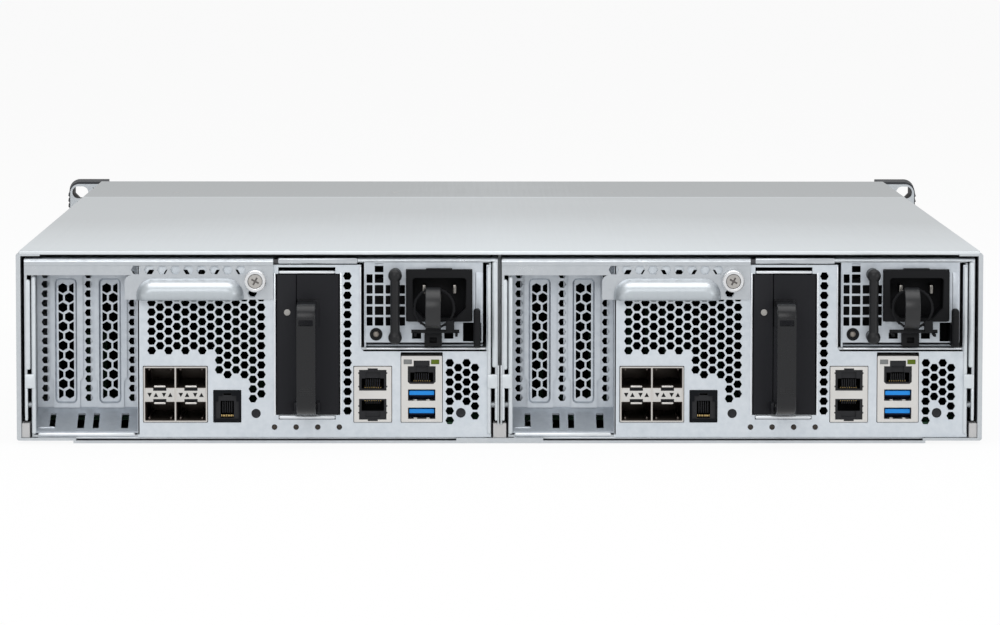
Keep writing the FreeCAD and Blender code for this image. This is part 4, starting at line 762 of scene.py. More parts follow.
def grip_skin(inset):
    """The drawn grip: its outline has a quarter circle at each top corner, and the skin rises from
    the outline in a quarter ellipse, by the distance that each point lies inside it. Near its lower
    edge it draws back by a quarter of its rise, with the square of the distance."""
    s, t = np.meshgrid(np.linspace(0, 1, 73), np.linspace(0, 1, 29), indexing="ij")
    s = 0.5 - 0.5 * np.cos(np.pi * s)
    x = GRIP[0] + (GRIP[1] - GRIP[0]) * s
    side = np.clip(CORNER - np.minimum(x - GRIP[0], GRIP[1] - x), 0, CORNER)
    top = GRIP_TOP - CORNER + np.sqrt(CORNER**2 - side**2)
    z = HANDLE_LOW + (top - HANDLE_LOW) * np.sin(t * np.pi / 2)
    rise = np.clip(z - (GRIP_TOP - CORNER), 0, CORNER)
    inside = np.clip((CORNER - np.hypot(side, rise)) / CROWN, 0, 1)
    tuck = np.clip((HANDLE_LOW + 3.6 - z) / 3.6, 0, 1)
    y = -(GRIP_PROUD - inset) * np.sqrt(1 - (1 - inside) ** 2) * (1 - 0.24 * tuck**2)
    middle = (GRIP[0] + GRIP[1]) / 2
    return np.stack(
        [x + inset * (middle - x) / 30, y + 0.4 * inset, z - inset * (z > HANDLE_LOW + 1)], -1
    )


grip = lofted(np.concatenate([grip_skin(0.0), grip_skin(0.9)[:, ::-1]], axis=1))


def arm(outer, inward, rod_low, rod_high):
    """A side arm: a flat web with a round lobe at the pin, a rolled rod along its rear edge, a
    square stop tab and a thin lower edge."""
    x0, x1 = sorted((outer, outer + inward * SHEET))
    web_y, web_top = (0.2, 9.0), HANDLE_TOP - 0.6
    lobe = arc(*PIN_AT, 7.0, -HALF_PI - 0.6, 0.4, 12)
    lobe = lobe[lobe[:, 0] > web_y[0]]
    top = [(web_y[1], 26.0), (web_y[1], web_top), (web_y[0], web_top)]
    web_edge = np.concatenate([[(web_y[0], 12.6)], lobe, top])
    web = pierced(web_edge, [circle(*PIN_AT, 1.6, 20)], x0, x1, along="x")
    r0, r1 = sorted((outer + inward * 0.05, outer + inward * 2.6))
    rod = block(r0, r1, 0.0, 2.3, rod_low, rod_high, 0.9, 1.1, along="z", steps=4)
    t0, t1 = sorted((outer, outer + inward * 4.8))
    tab = block(t0, t1, 0.0, 1.3, 25.3, 31.8, 0.35, 0.8)
    e0, e1 = sorted((outer, outer + inward * 1.35))
    edge = block(e0, e1, 0.0, 1.4, 10.4, 25.4, 0.45, 0.5, along="z")
    return web, joined(rod, tab, edge)


left_web, left_rods = arm(HANDLE_LEFT, 1, 33.8, HANDLE_STEP_Z - 2.0)
right_web, right_rods = arm(BAR_RIGHT, -1, 34.9, HANDLE_TOP - 1.6)
both(
    "pull_handle", joined(plate, *tops, left_web, right_web), handle_steel,
    body="bail", nodes=["bail_handle"],
)
# Painted highlight: the rolled rods take a paler, less metallic copy of the handle's steel
rod_highlight = galvanised("rod_highlight", (0.68, 0.72, 0.75), (0.55, 0.59, 0.62), 0.36, 0.35)
both("handle_rods", joined(left_rods, right_rods), rod_highlight, body="bail")
# Painted shade: a near-black block fills the notch between the handle's bent top and the bar
notch_shade_block = block(
    HANDLE_RIGHT - 0.4, HANDLE_RIGHT + 2.4, 0.5, BAR_DEEP, HANDLE_TOP - 2.6, HANDLE_TOP - 0.6, 0.2
)
notch_shade_paint = galvanised("notch_shade_paint", (0.07, 0.07, 0.075), (0.03, 0.03, 0.035), 0.5, 0.3)
both("handle_joint_block", notch_shade_block, notch_shade_paint, body="bail")

# Painted shade: the drawn grip is coloured darker on its lower run than at its top
drawn_steel = Finish("drawn_steel", Metallic=0.6)
grip_height = drawn_steel.node("ShaderNodeSeparateXYZ", output=2, Vector=drawn_steel.place())
painted_top_light = drawn_steel.node("ShaderNodeClamp", Value=(grip_height * 1000.0 - HANDLE_LOW - 6.1) * 0.6)
grip_marks = drawn_steel.noise(1.0, 4.0, 0.6, drawn_steel.place(scale=(700.0, 60.0, 90.0)))
drawn_steel.put("Base Color", drawn_steel.blend(
    painted_top_light * 0.85 + grip_marks * 0.3 - 0.08, (0.47, 0.51, 0.54), (0.71, 0.74, 0.77)
))
drawn_steel.put("Roughness", grip_marks * 0.14 - painted_top_light * 0.1 + 0.36)
drawn_steel.relief(grip_marks, 0.00002, 0.3)
both("drawn_grip", grip, drawn_steel.material, body="bail", smooth=60.0)

# Rolled edge of the tray's left wall and the edge of its right wall, beside the handle's arms, with
# painted highlight
left_roll = block(ARM_ZONE - 0.1, ARM_ZONE + 2.0, 0.6, 2.8, 4.0, 76.8, 0.9, 1.0, along="z", steps=4)
right_roll = block(212.6, WALL_OUT, 0.9, 2.5, 4.0, 81.5, 0.5, 0.7, along="z", steps=4)
both("tray_edges", joined(left_roll, right_roll), rod_highlight)


# Captive thumbscrew: a turned steel knob with a fine knurl, and a nickel-plated screw head with a
# cross recess that is pressed into it.

KNOB = near("thumbscrew")


def turned(profile, x, z, ripple=0.0, ripples=0, sides=48):
    """A turned part on an axis along Y: at each point of the profile a circle, whose radius swells
    and shrinks with the cosine of the angle times the number of ripples."""
    profile = np.asarray(profile)
    around = np.arange(sides) * 2 * np.pi / sides
    radius = profile[:, :1] * (1 + ripple * np.cos(ripples * around)[None, :])
    rings = np.stack([
        x + radius * np.cos(around), np.broadcast_to(profile[:, 1:], radius.shape),
        z + radius * np.sin(around),
    ], -1)
    return lofted(rings)


knob_front, knob_back = KNOB.y0, -0.3
knob_profile = [
    (3.2, knob_front + 1.6), (3.25, knob_front + 0.5), (3.45, knob_front + 0.1), (3.9, knob_front),
    (4.6, knob_front + 0.05), (5.0, knob_front + 0.45), (5.05, knob_front + 1.2),
    (5.05, knob_back - 1.0), (4.7, knob_back - 0.5), (3.2, knob_back - 0.45), (3.2, knob_back),
]
knob = turned(knob_profile, *SCREW_AT, ripple=0.012, ripples=36, sides=144)
arm_long, arm_wide = 1.9, 0.42
cross = np.array([
    (arm_long, arm_wide), (arm_wide, arm_wide), (arm_wide, arm_long), (-arm_wide, arm_long),
    (-arm_wide, arm_wide), (-arm_long, arm_wide), (-arm_long, -arm_wide), (-arm_wide, -arm_wide),
    (-arm_wide, -arm_long), (arm_wide, -arm_long), (arm_wide, -arm_wide), (arm_long, -arm_wide),
])
turn = np.array([[math.cos(0.5), -math.sin(0.5)], [math.sin(0.5), math.cos(0.5)]])
head = pierced(
    circle(*SCREW_AT, 3.15), [cross @ turn + np.array(SCREW_AT)], knob_front + 0.25,
    knob_front + 1.0
)
head_floor = turned([(3.1, knob_front + 1.0), (3.1, knob_front + 1.4)], *SCREW_AT)
shank = turned([(1.5, knob_back - 0.6), (1.5, 2.6), (1.1, 3.0)], *SCREW_AT)
pale_nickel = galvanised("pale_nickel", (0.80, 0.81, 0.82), (0.70, 0.71, 0.73), 0.26, 0.9)
worn_nickel = galvanised("worn_nickel", (0.62, 0.60, 0.57), (0.34, 0.33, 0.32), 0.30, 0.95)
both(
    "thumbscrew_knob", joined(knob, shank), pale_nickel, body="screw",
    nodes=["thumbscrew"]
)
both("thumbscrew_head", head, worn_nickel, body="screw")
# Painted shade: the recess floor takes a dark copy of the nickel
shaded_nickel = galvanised("shaded_nickel", (0.20, 0.19, 0.18), (0.12, 0.11, 0.11), 0.4, 0.8)
both("thumbscrew_recess", head_floor, shaded_nickel, body="screw")


# Moulded plastics: satin black for the battery, supply and sockets, with a fine spark-eroded grain.

def moulded(name, colour, roughness, specks=900.0, shine=0.16):
    """Moulded plastic: a slow change of tone, and a fine grain in the gloss and the relief."""
    finish = Finish(name, Specular_IOR_Level=shine)
    slow = finish.noise(30.0, 2.0, 0.5)
    fine = finish.noise(specks, 2.0, 0.6)
    low = tuple(0.82 * c for c in colour)
    finish.put("Base Color", finish.blend(slow * 0.6 + fine * 0.4, low, colour))
    finish.put("Roughness", fine * 0.16 + slow * 0.06 + (roughness - 0.11))
    finish.relief(fine, 0.00002, 0.4)
    return finish.material


black_satin = moulded("black_satin", (0.0125, 0.013, 0.016), 0.5)
black_gloss = moulded("black_gloss", (0.0078, 0.0083, 0.010), 0.3, shine=0.36)
black_matte = moulded("black_matte", (0.0062, 0.0066, 0.008), 0.56)
jack_black = moulded("jack_black", (0.0045, 0.0055, 0.0075), 0.5, shine=0.1)
jack_charcoal = moulded("jack_charcoal", (0.021, 0.0215, 0.024), 0.45)
black_hollow = moulded("black_hollow", (0.006, 0.006, 0.007), 0.7)
grey_moulded = moulded("grey_moulded", (0.40, 0.39, 0.37), 0.5)
pale_moulded = moulded("pale_moulded", (0.62, 0.61, 0.59), 0.45)


# Module cage: a stamped and folded tin-plated shell with four square ports. A pale moulded strip
# with small dark windows runs between the rows, and sprung tabs hold the modules.

def metal(name, pale, dark, roughness, metallic=1.0):
    """Stamped metal: cloudy tone and gloss, with faint drawing marks raised on it."""
    finish = Finish(name, Metallic=metallic)
    clouds = finish.noise(60.0, 4.0, 0.6)
    marks = finish.noise(1.0, 3.0, 0.5, finish.place(scale=(900.0, 60.0, 900.0)))
    finish.put("Base Color", finish.blend(clouds, dark, pale))
    finish.put("Roughness", clouds * 0.2 + (roughness - 0.1))
    finish.relief(marks, 0.00002, 0.3)
    return finish.material


tin_shell = metal("tin_shell", (0.66, 0.64, 0.61), (0.54, 0.52, 0.50), 0.34)
# Painted shade: a dark copy of the tin for the ports' linings and back plates
tin_inside_shaded = metal("tin_inside_shaded", (0.20, 0.17, 0.15), (0.07, 0.06, 0.055), 0.42, 0.8)
contact_gold = metal("contact_gold", (0.80, 0.60, 0.28), (0.62, 0.44, 0.18), 0.28)
PORT_WALL = 0.6
port = (CAGE.x1 - CAGE.x0 - 3 * PORT_WALL) / 2
BAND = (CAGE.z0 + 9.4, CAGE.z1 - 9.9)
port_boxes = []
for column_number in range(2):
    x0 = CAGE.x0 + PORT_WALL + column_number * (port + PORT_WALL)
    port_boxes.append((x0, x0 + port, CAGE.z0 + PORT_WALL, BAND[0]))
    port_boxes.append((x0, x0 + port, BAND[1], CAGE.z1 - PORT_WALL))
cage_ring = pierced(
    box_outline(CAGE.x0, CAGE.x1, CAGE.z0, CAGE.z1, 0.5),
    [box_outline(*limits, 0.3) for limits in port_boxes], CAGE.y0, CAGE.y1,
)
both("module_cage", cage_ring, tin_shell, nodes=["sfp_cage"])
liners, band_parts, marks, springs = [], [], [], []
for x0, x1, z0, z1 in port_boxes:
    middle = (x0 + x1) / 2
    liners.append(pierced(
        box_outline(x0 + 0.01, x1 - 0.01, z0 + 0.01, z1 - 0.01, 0.3),
        [box_outline(x0 + 0.18, x1 - 0.18, z0 + 0.18, z1 - 0.18, 0.25)], CAGE.y0 + 0.5,
        CAGE.y1 - 0.5,
    ))
    liners.append(block(x0 + 0.1, x1 - 0.1, CAGE.y1 - 4.0, CAGE.y1 - 3.2, z0 + 0.1, z1 - 0.1, 0.1))
    upper = z1 > CAGE.z0 + 14
    inner_z, sign = (z0, 1) if upper else (z1, -1)
    outer_z = z1 if upper else z0
    spring_z = sorted((inner_z + 0.25 * sign, inner_z + 1.15 * sign))
    shade_z = sorted((inner_z - 1.3 * sign, inner_z + 0.1 * sign))
    ridge_z = sorted((outer_z - 0.2 * sign, outer_z - 1.4 * sign))
    springs.append(block(*about(middle, 2.7), CAGE.y0 - 0.05, CAGE.y0 + 3.0, *spring_z, 0.3))
    # Painted shade: a black strip on the band beside each spring
    marks.append(block(*about(middle, 3.1), CAGE.y0 - 0.06, CAGE.y0 + 0.3, *shade_z, 0.1))
    for x in (middle - 5.4, middle + 4.6):
        liners.append(block(x, x + 0.8, CAGE.y0 + 3.0, CAGE.y1 - 6, *ridge_z, 0.2))
both("module_port_linings", joined(*liners), tin_inside_shaded)
for x0, x1, _, _ in port_boxes[::2]:
    band_parts.append(
        block(
            x0 + 0.3, x1 - 0.3, CAGE.y0 - 0.04, CAGE.y0 + 1.0, BAND[0] + 0.15, BAND[1] - 0.15, 0.15
        )
    )
    middle_z = (BAND[0] + BAND[1]) / 2
    for k, share in enumerate((0.16, 0.37, 0.64, 0.85)):
        centre = x0 + share * (x1 - x0)
        sign = 1 if k % 2 else -1
        triangle = np.array([(-1.05, -0.95 * sign), (1.05, -0.95 * sign), (0.0, 1.05 * sign)])
        triangle = triangle[::sign] + np.array([centre, middle_z])
        marks.append(pierced(triangle, [], CAGE.y0 - 0.09, CAGE.y0 + 0.1))
both("module_cage_strip", joined(*band_parts), pale_moulded)
both("module_cage_windows_and_shade", joined(*marks), black_matte)
both("module_cage_springs", joined(*springs), tin_shell)


# Modular jacks: a T-shaped mouth with a stepped way for the plug's latch, a dark moulded lining and
# a comb of gilt wires. The network jacks sit in folded tin-plated shells, the console jack has none.

def jack_mouth(centre, base, up, steps, foot=0.0):
    """The outline of a jack's opening. From its base it rises, or hangs where up is minus one, in
    steps that are each a half width and a height; the corners at its base may be cut off."""
    wide, high = np.array(steps).T
    right = np.stack([np.repeat(wide, 2), np.concatenate([[0.0], np.repeat(high, 2)[:-1]])], -1)
    if foot:
        right = np.concatenate([[(wide[0] - foot, 0.0), (wide[0], foot)], right[1:]])
    outline = np.concatenate([right, right[::-1] * np.array([-1, 1])])
    outline = outline * np.array([1, up]) + np.array([centre, base])
    return outline if up > 0 else outline[::-1]


def jack_inside(mouth, centre, base, front, up, ribs, wires=8, deep=12.0):
    """The lining and back, the ribs and the contacts of one jack: the lining is the mouth's outline
    drawn in a little, and the contacts are thin bars that slope away from the base."""
    middle = mouth.mean(axis=0)
    inner = middle + (mouth - middle) * 0.955
    lining = pierced(mouth, [inner], front + 2.25, front + deep)
    (x0, z0), (x1, z1) = mouth.min(axis=0), mouth.max(axis=0)
    back = block(x0, x1, front + deep, front + deep + 0.6, z0, z1, 0.1)
    places = centre + (np.arange(wires) - (wires - 1) / 2) * 1.02
    low, high = sorted((base + ribs[0] * up, base + ribs[1] * up))
    comb = [
        block(x + 0.33, x + 0.69, front + 1.1, front + 3.2, low, high, 0.05) for x in places[:-1]
    ]
    wire_rings = np.zeros((len(places), 2, 4, 3))
    reach = np.array([front + 3.4, front + 9.0])
    rise = base + np.array([1.1, 3.0]) * up
    for corner, (dx, dz) in enumerate(((-0.17, -0.17), (0.17, -0.17), (0.17, 0.17), (-0.17, 0.17))):
        wire_rings[:, :, corner, 0] = places[:, None] + dx
        wire_rings[:, :, corner, 1] = reach[None, :]
        wire_rings[:, :, corner, 2] = rise[None, :] + dz
    gilt = joined(*[lofted(rings) for rings in wire_rings])
    return joined(lining, back), joined(*comb), gilt


linings, inserts, combs, gilded = [], [], [], []
lan_x, combo_x = (LAN.x0 + LAN.x1) / 2, (COMBO.x0 + COMBO.x1) / 2
PORT_Z = LAN.z0
LAN_STEPS, LAN_CAVITY = ((6.3, 9.6), (2.3, 10.3)), ((5.2, 4.9), (3.4, 7.8))
LONE_STEPS, LONE_CAVITY = ((6.4, 8.2), (3.7, 10.8)), ((5.3, 4.6), (2.9, 7.6))
jacks = [
    # middle, base, way up, mouth, cavity, cut corners, ribs
    (lan_x, PORT_Z + 14.5, 1, LAN_STEPS, LAN_CAVITY, 0.0, (1.5, 5.2)),
    (lan_x, PORT_Z + 10.7, -1, LAN_STEPS, LAN_CAVITY, 0.0, (0.8, 2.3)),
    (combo_x, PORT_Z + 17.6, 1, LONE_STEPS, LONE_CAVITY, 1.0, (1.5, 4.8)),
]
mouths = []
for x, base, up, steps, hollow, cut, ribs in jacks:
    mouth = jack_mouth(x, base, up, steps, cut)
    lining, comb, gilt = jack_inside(mouth, x, base, LAN.y0, up, ribs)
    shelf = sorted((base + (steps[0][1] - 0.5) * up, base + (steps[0][1] - 0.1) * up))
    inserts.append(
        pierced(mouth, [jack_mouth(x, base + 0.7 * up, up, hollow)], LAN.y0 + 0.45, LAN.y0 + 1.3)
    )
    inserts.append(
        pierced(mouth, [jack_mouth(x, base + 0.8 * up, up, hollow[:1])], LAN.y0 + 1.3, LAN.y0 + 2.2)
    )
    inserts.append(block(*about(x, 2.1), LAN.y0 + 0.3, LAN.y0 + 1.0, *shelf, 0.12))
    mouths.append(mouth)
    linings.append(lining)
    combs.append(comb)
    gilded.append(gilt)
lan_shell = pierced(
    box_outline(LAN.x0, LAN.x1, LAN.z0, LAN.z1, 0.35), mouths[:2], LAN.y0, LAN.y1
)
usb_low = (PORT_Z + 1.4, PORT_Z + 9.8)
usb_mouths = [box_outline(*about(combo_x, 6.3), z, z + 5.3, 0.3) for z in usb_low]
led_z = (PORT_Z + 26.7, PORT_Z + 28.9)
LED_X = ((-8.3, -4.5), (4.3, 8.1))
led_windows = [box_outline(combo_x + x0, combo_x + x1, *led_z, 0.2) for x0, x1 in LED_X]
combo_shell = pierced(
    box_outline(COMBO.x0, COMBO.x1, COMBO.z0, COMBO.z1, 0.35),
    [mouths[2]] + usb_mouths + led_windows, COMBO.y0, COMBO.y1,
)
warm_shell = metal("warm_shell", (0.72, 0.71, 0.69), (0.62, 0.61, 0.59), 0.38, 0.75)
both("network_shell", lan_shell, warm_shell, nodes=["lan_stack"])
both("network_usb_shell", combo_shell, warm_shell, nodes=["lan_usb_stack"])
nubs = [
    block(x, x + 0.5, LAN.y0 - 0.03, LAN.y0 + 1.2, z, z + 0.8, 0.1)
    for x in (lan_x - 6.7, lan_x + 6.2) for z in PORT_Z + np.array([3.9, 7.0, 16.0, 22.2])
]
both("network_shell_clips", joined(*nubs), jack_charcoal)

console_x = (CONSOLE.x0 + CONSOLE.x1) / 2
console_low = CONSOLE.z0 + 1.5
console_mouth = jack_mouth(console_x, console_low, 1, ((5.3, 8.0), (4.2, 10.6), (2.2, 11.9)))
console_cavity = box_outline(*about(console_x, 3.1), console_low + 0.3, console_low + 8.3, 0.2)
console_notch = box_outline(*about(console_x, 1.9), console_low + 10.9, console_low + 11.7, 0.1)
console_body = pierced(
    box_outline(CONSOLE.x0, CONSOLE.x1, CONSOLE.z0, CONSOLE.z1, 0.3), [console_mouth],
    CONSOLE.y0, CONSOLE.y1,
)
both("console_body", console_body, jack_black, nodes=["console_jack"])
lining, comb, gilt = jack_inside(
    console_mouth, console_x, console_low, CONSOLE.y0, 1, (2.7, 7.9), 6, 10.0
)
console_face = pierced(
    console_mouth, [console_cavity, console_notch], CONSOLE.y0 + 0.5, CONSOLE.y0 + 2.2
)
both("console_insert", console_face, jack_charcoal)
gilded.append(joined(*[
    block(
        *about(x, 0.14), CONSOLE.y0 + 0.9, CONSOLE.y0 + 1.6, console_low + 1.0, console_low + 1.9,
        0.06
    )
    for x in console_x + 0.74 * (np.arange(8) - 3.5)
]))
linings.append(lining)
combs.append(comb)
gilded.append(gilt)
both("jack_inserts", joined(*inserts), jack_charcoal)
both("jack_linings", joined(*linings), black_hollow)
both("jack_combs", joined(*combs), jack_charcoal)
both("jack_contacts", joined(*gilded), contact_gold)

# Lamp windows of the single jack: a clear grey one and a green one, both unlit
window_grey = moulded("window_grey", (0.22, 0.23, 0.23), 0.25)
window_green = moulded("window_green", (0.11, 0.155, 0.014), 0.22)
for name, finish, (x0, x1) in zip(("grey", "green"), (window_grey, window_green), LED_X):
    lens = block(
        combo_x + x0 + 0.02, combo_x + x1 - 0.02, COMBO.y0 + 0.15, COMBO.y0 + 3, *led_z, 0.2
    )
    both(f"jack_window_{name}", lens, finish)

# USB sockets: a blue tongue above a floor painted dark navy as shade, with two springs in the shell's
# lower wall
usb_blue = moulded("usb_blue", (0.02, 0.27, 0.78), 0.4)
usb_blue_shaded = moulded("usb_blue_shaded", (0.006, 0.014, 0.05), 0.45)
tongues, floors, clips = [], [], []
front = COMBO.y0
for z in usb_low:
    tongues.append(block(*about(combo_x, 5.7), front + 0.9, front + 9, z + 2.6, z + 4.5, 0.15))
    floors.append(block(*about(combo_x, 6.2), front + 8.6, front + 9.4, z + 0.1, z + 5.2, 0.1))
    floors.append(block(*about(combo_x, 5.6), front + 1.6, front + 8.8, z + 2.0, z + 2.55, 0.1))
    clips += [
        block(combo_x + x - 0.8, combo_x + x + 0.8, front + 0.7, front + 4, z + 0.05, z + 0.5, 0.12)
        for x in (-2.9, 2.9)
    ]
both("usb_tongues", joined(*tongues), usb_blue)
both("usb_shaded_floors", joined(*floors), usb_blue_shaded)
both("usb_springs", joined(*clips), warm_shell)


# Push buttons and lamp pipes: dark moulded caps with a shallow dish, and four small smoked pipes in
# a row under the battery.

button_grey = moulded("button_grey", (0.023, 0.024, 0.027), 0.5)
pipe_smoke = moulded("pipe_smoke", (0.05, 0.042, 0.036), 0.2)
for name, place, radius in (("power", POWER_AT, 1.95), ("reset", RESET_AT, 2.05)):
    dish = [(0.3, 0.25), (1.1, 0.15), (radius - 0.35, -0.15), (radius - 0.1, -0.18)]
    skirt = [(radius, -0.02), (radius, 1.3), (radius + 0.9, 1.32), (radius + 0.9, 4.0)]
    cap = turned(np.array(dish + skirt) + np.array([0.0, PANEL_Y]), *place)
    for side, left in LEFT.items():
        piece(
            f"{name}_cap_{side}", cap, button_grey, f"{name}_button_{side}",
            [f"{name}_button_{side}"], drop=(left, REAR, 0.0),
        )
pipe_profile = np.array([(0.25, -0.2), (0.8, -0.12), (1.15, 0.15), (1.15, 3.0)])
pipe_profile += np.array([0.0, PANEL_Y])
pipes = [turned(pipe_profile, x, PIPES_Z, sides=20) for x in PIPES_X]
both("lamp_pipes", joined(*pipes), pipe_smoke)


# Battery module: a closed black moulded case. A strap-like lever with a curled top lies down its
# face, hinged at the foot between two lugs and hooked into a recess under the curl.

CASE_Y = 1.0
HINGE_Y = -1.7
LEVER = near("battery_lever")
seam = LEVER.x0 - 0.5
case_left = block(BATTERY.x0, seam - 0.08, CASE_Y, BATTERY.y1, BATTERY.z0, BATTERY.z1, 0.45, 0.5)
case_right = block(seam + 0.08, BATTERY.x1, CASE_Y, BATTERY.y1, BATTERY.z0, BATTERY.z1, 0.45, 0.5)
recess = box_outline(LEVER.x0 - 0.6, LEVER.x1 + 1.4, LEVER.z1 - 12, LEVER.z1 + 0.6, 0.3)
face_plate = pierced(
    box_outline(seam + 0.1, BATTERY.x1 - 0.3, BATTERY.z0 + 0.3, BATTERY.z1 - 0.3, 0.3), [recess],
    CASE_Y - 0.35, CASE_Y + 0.1
)
lugs = [
    block(x, x + 1.3, -4.1, CASE_Y + 1, BATTERY.z0 + 0.8, BATTERY.z0 + 6.0, 0.3, 1.2, along="x")
    for x in (LEVER.x0 - 1.6, LEVER.x1 + 0.3)
]
hinge_z = BATTERY.z0 + 3.4
pin = profile_run(circle(HINGE_Y, hinge_z, 1.2, 20), LEVER.x0 - 0.6, LEVER.x1 + 0.6, along="x")
both(
    "battery_case", joined(case_left, case_right, face_plate, *lugs, pin), black_satin,
    body="battery", nodes=["battery_module"],
)


def ribbon(path, width, thick, x_centre, edge=0.5):
    """A flat strap along a path in the YZ plane: at each point a rounded rectangle, as wide as the
    strap along X and as thick along the path's normal."""
    path = np.asarray(path)
    tangent = np.gradient(path, axis=0)
    tangent /= np.linalg.norm(tangent, axis=1)[:, None]
    normal = np.stack([-tangent[:, 1], tangent[:, 0]], -1)
    section = rounded_outline(width, thick, edge, 4)
    rings = np.zeros((len(path), len(section), 3))
    rings[:, :, 0] = x_centre + section[None, :, 0]
    rings[:, :, 1] = path[:, None, 0] + section[None, :, 1] * normal[:, None, 0]
    rings[:, :, 2] = path[:, None, 1] + section[None, :, 1] * normal[:, None, 1]
    return lofted(rings)


THICK = 2.6
turn_r, curl_r = 9.0 - THICK / 2, 5.4
RIDGE = 0.13
mid_y = LEVER.y0 + THICK / 2 + RIDGE
mid_top, mid_low = LEVER.z1 - THICK / 2, LEVER.z0 + THICK / 2
curl = arc(mid_y + curl_r, mid_top - curl_r, curl_r, HALF_PI, np.pi, 12)
toe_bend = arc(mid_y + turn_r, mid_low + turn_r, turn_r, np.pi, 3 * HALF_PI, 12)
upper_path = np.concatenate(
    [[(3.0, mid_top), (0.0, mid_top)], np.linspace((-4.0, mid_top), curl[0], 4)[:-1], curl]
)
lower_path = np.concatenate([toe_bend, np.linspace(toe_bend[-1], (HINGE_Y, mid_low + 0.3), 5)[1:]])
middle_x = (LEVER.x0 + LEVER.x1) / 2
lever_wide = LEVER.x1 - LEVER.x0
front_run = pierced(
    box_outline(LEVER.x0, LEVER.x1, toe_bend[0][1] - 0.2, curl[-1][1] + 0.2),
    [box_outline(*about(middle_x, 3.3), curl[-1][1] - 3.2, curl[-1][1] - 0.5, 0.4)],
    LEVER.y0 + RIDGE, LEVER.y0 + RIDGE + THICK,
)
lever = [
    ribbon(upper_path, lever_wide, THICK, middle_x), ribbon(lower_path, lever_wide, THICK, middle_x)
]
eye = profile_run(circle(HINGE_Y, hinge_z, 2.15, 24), LEVER.x0 + 0.02, LEVER.x1 - 0.02, along="x")
toe = block(LEVER.x0 + 1.0, LEVER.x1 - 1.0, 2.1, 3.4, LEVER.z1 - 4.8, LEVER.z1 - 0.4, 0.3)
ridges = [
    block(LEVER.x0 + 1.2, LEVER.x1 - 1.2, LEVER.y0, LEVER.y0 + 0.4, z, z + 0.35, 0.1)
    for z in toe_bend[0][1] + 0.8 + 0.8 * np.arange(5)
]
both(
    "battery_lever_strap", joined(front_run, *lever, eye, toe, *ridges), black_gloss,
    body="battery_lever", nodes=["battery_lever"],
)
BATTERY_LAMP_AT = (120.85, 60.3)
lamp = turned([(0.3, 0.55), (1.1, 0.6), (1.45, 0.85), (1.45, 1.4)], *BATTERY_LAMP_AT, sides=28)
both("battery_lamp", lamp, grey_moulded, body="battery")


# Power supply: a folded sheet case behind a face plate with square fan holes. The mains inlet is a
# moulded shroud with three blades, clipped in from the front.

FACE_Y = 0.5
INLET = near("psu_inlet")
LATCH = near("psu_latch")
GRILLE, GRILLE_PITCH = 4.0, 4.93
FACE_LOW = SUPPLY.z0 + 2.2
LAMP_AT = (161.7, 50.3)
squares = []
for column_x, width, first, last in (
    (157.3, 2.8, 0, 5), (161.1, 4.0, 0, 6), (166.1, 4.0, 0, 4), (171.0, 4.0, 0, 4)
):
    for k in range(first, last):
        low = 54.2 + GRILLE_PITCH * k
        squares.append(
            box_outline(column_x, column_x + width, low, min(low + GRILLE, SUPPLY.z1 - 0.4), 0.25)
        )
face_holes = squares + [
    box_outline(INLET.x0 - 0.1, INLET.x1 + 0.1, INLET.z0 - 0.1, INLET.z1 + 0.1, 0.3),
    box_outline(201.6, LATCH.x1 + 0.5, FACE_LOW + 0.5, INLET.z0 - 0.6, 0.3),
    box_outline(178.2, 182.4, 48.2, 51.0, 0.2), box_outline(193.0, 197.2, 48.2, 51.0, 0.2),
    circle(*LAMP_AT, 1.6, 24),
]
supply_face = pierced(
    box_outline(SUPPLY.x0, SUPPLY.x1, FACE_LOW, SUPPLY.z1, 0.3), face_holes, FACE_Y, FACE_Y + 1
)
shell_top = SUPPLY.z1 - 0.9
walls = [
    block(SUPPLY.x0, SUPPLY.x0 + 0.9, FACE_Y + 0.6, SUPPLY.y1, SUPPLY.z0, shell_top, 0.2),
    block(SUPPLY.x1 - 0.9, SUPPLY.x1, FACE_Y + 18, SUPPLY.y1, SUPPLY.z0, shell_top, 0.2),
    block(SUPPLY.x1 - 0.9, SUPPLY.x1, FACE_Y + 0.6, FACE_Y + 18, INLET.z0 - 0.4, shell_top, 0.2),
    block(SUPPLY.x0, SUPPLY.x1, FACE_Y + 0.6, SUPPLY.y1, shell_top - 0.9, shell_top, 0.2),
    block(SUPPLY.x0, SUPPLY.x1, FACE_Y + 5, SUPPLY.y1, SUPPLY.z0, SUPPLY.z0 + 0.9, 0.2),
    block(SUPPLY.x0, SUPPLY.x1, SUPPLY.y1 - 1, SUPPLY.y1, SUPPLY.z0, shell_top, 0.2),
    block(
        SUPPLY.x0 - 0.02, SUPPLY.x0 + 0.7, FACE_Y - 0.15, FACE_Y + 2, FACE_LOW + 1.0, shell_top - 1,
        0.35, along="z"
    ),
    block(
        INLET.x1 + 1.2, SUPPLY.x1 + 0.1, FACE_Y - 0.25, FACE_Y + 2, INLET.z0 + 3.2, INLET.z1 - 1.2,
        0.5, 0.9, along="z"
    ),
]
both(
    "supply_case", joined(supply_face, *walls), zinc_shaded, body="psu",
    nodes=["psu_case"]
)
fan_dark = block(
    SUPPLY.x0 + 1, SUPPLY.x1 - 1, FACE_Y + 18, FACE_Y + 20, SUPPLY.z0 + 1, shell_top - 1, 0.2
)
FAN_AT = (165.0, 66.0)
fan_ring = turned([(9.5, FACE_Y + 9), (9.5, FACE_Y + 17)], *FAN_AT, sides=36)
both("supply_inside", joined(fan_dark, fan_ring), black_hollow, body="psu")

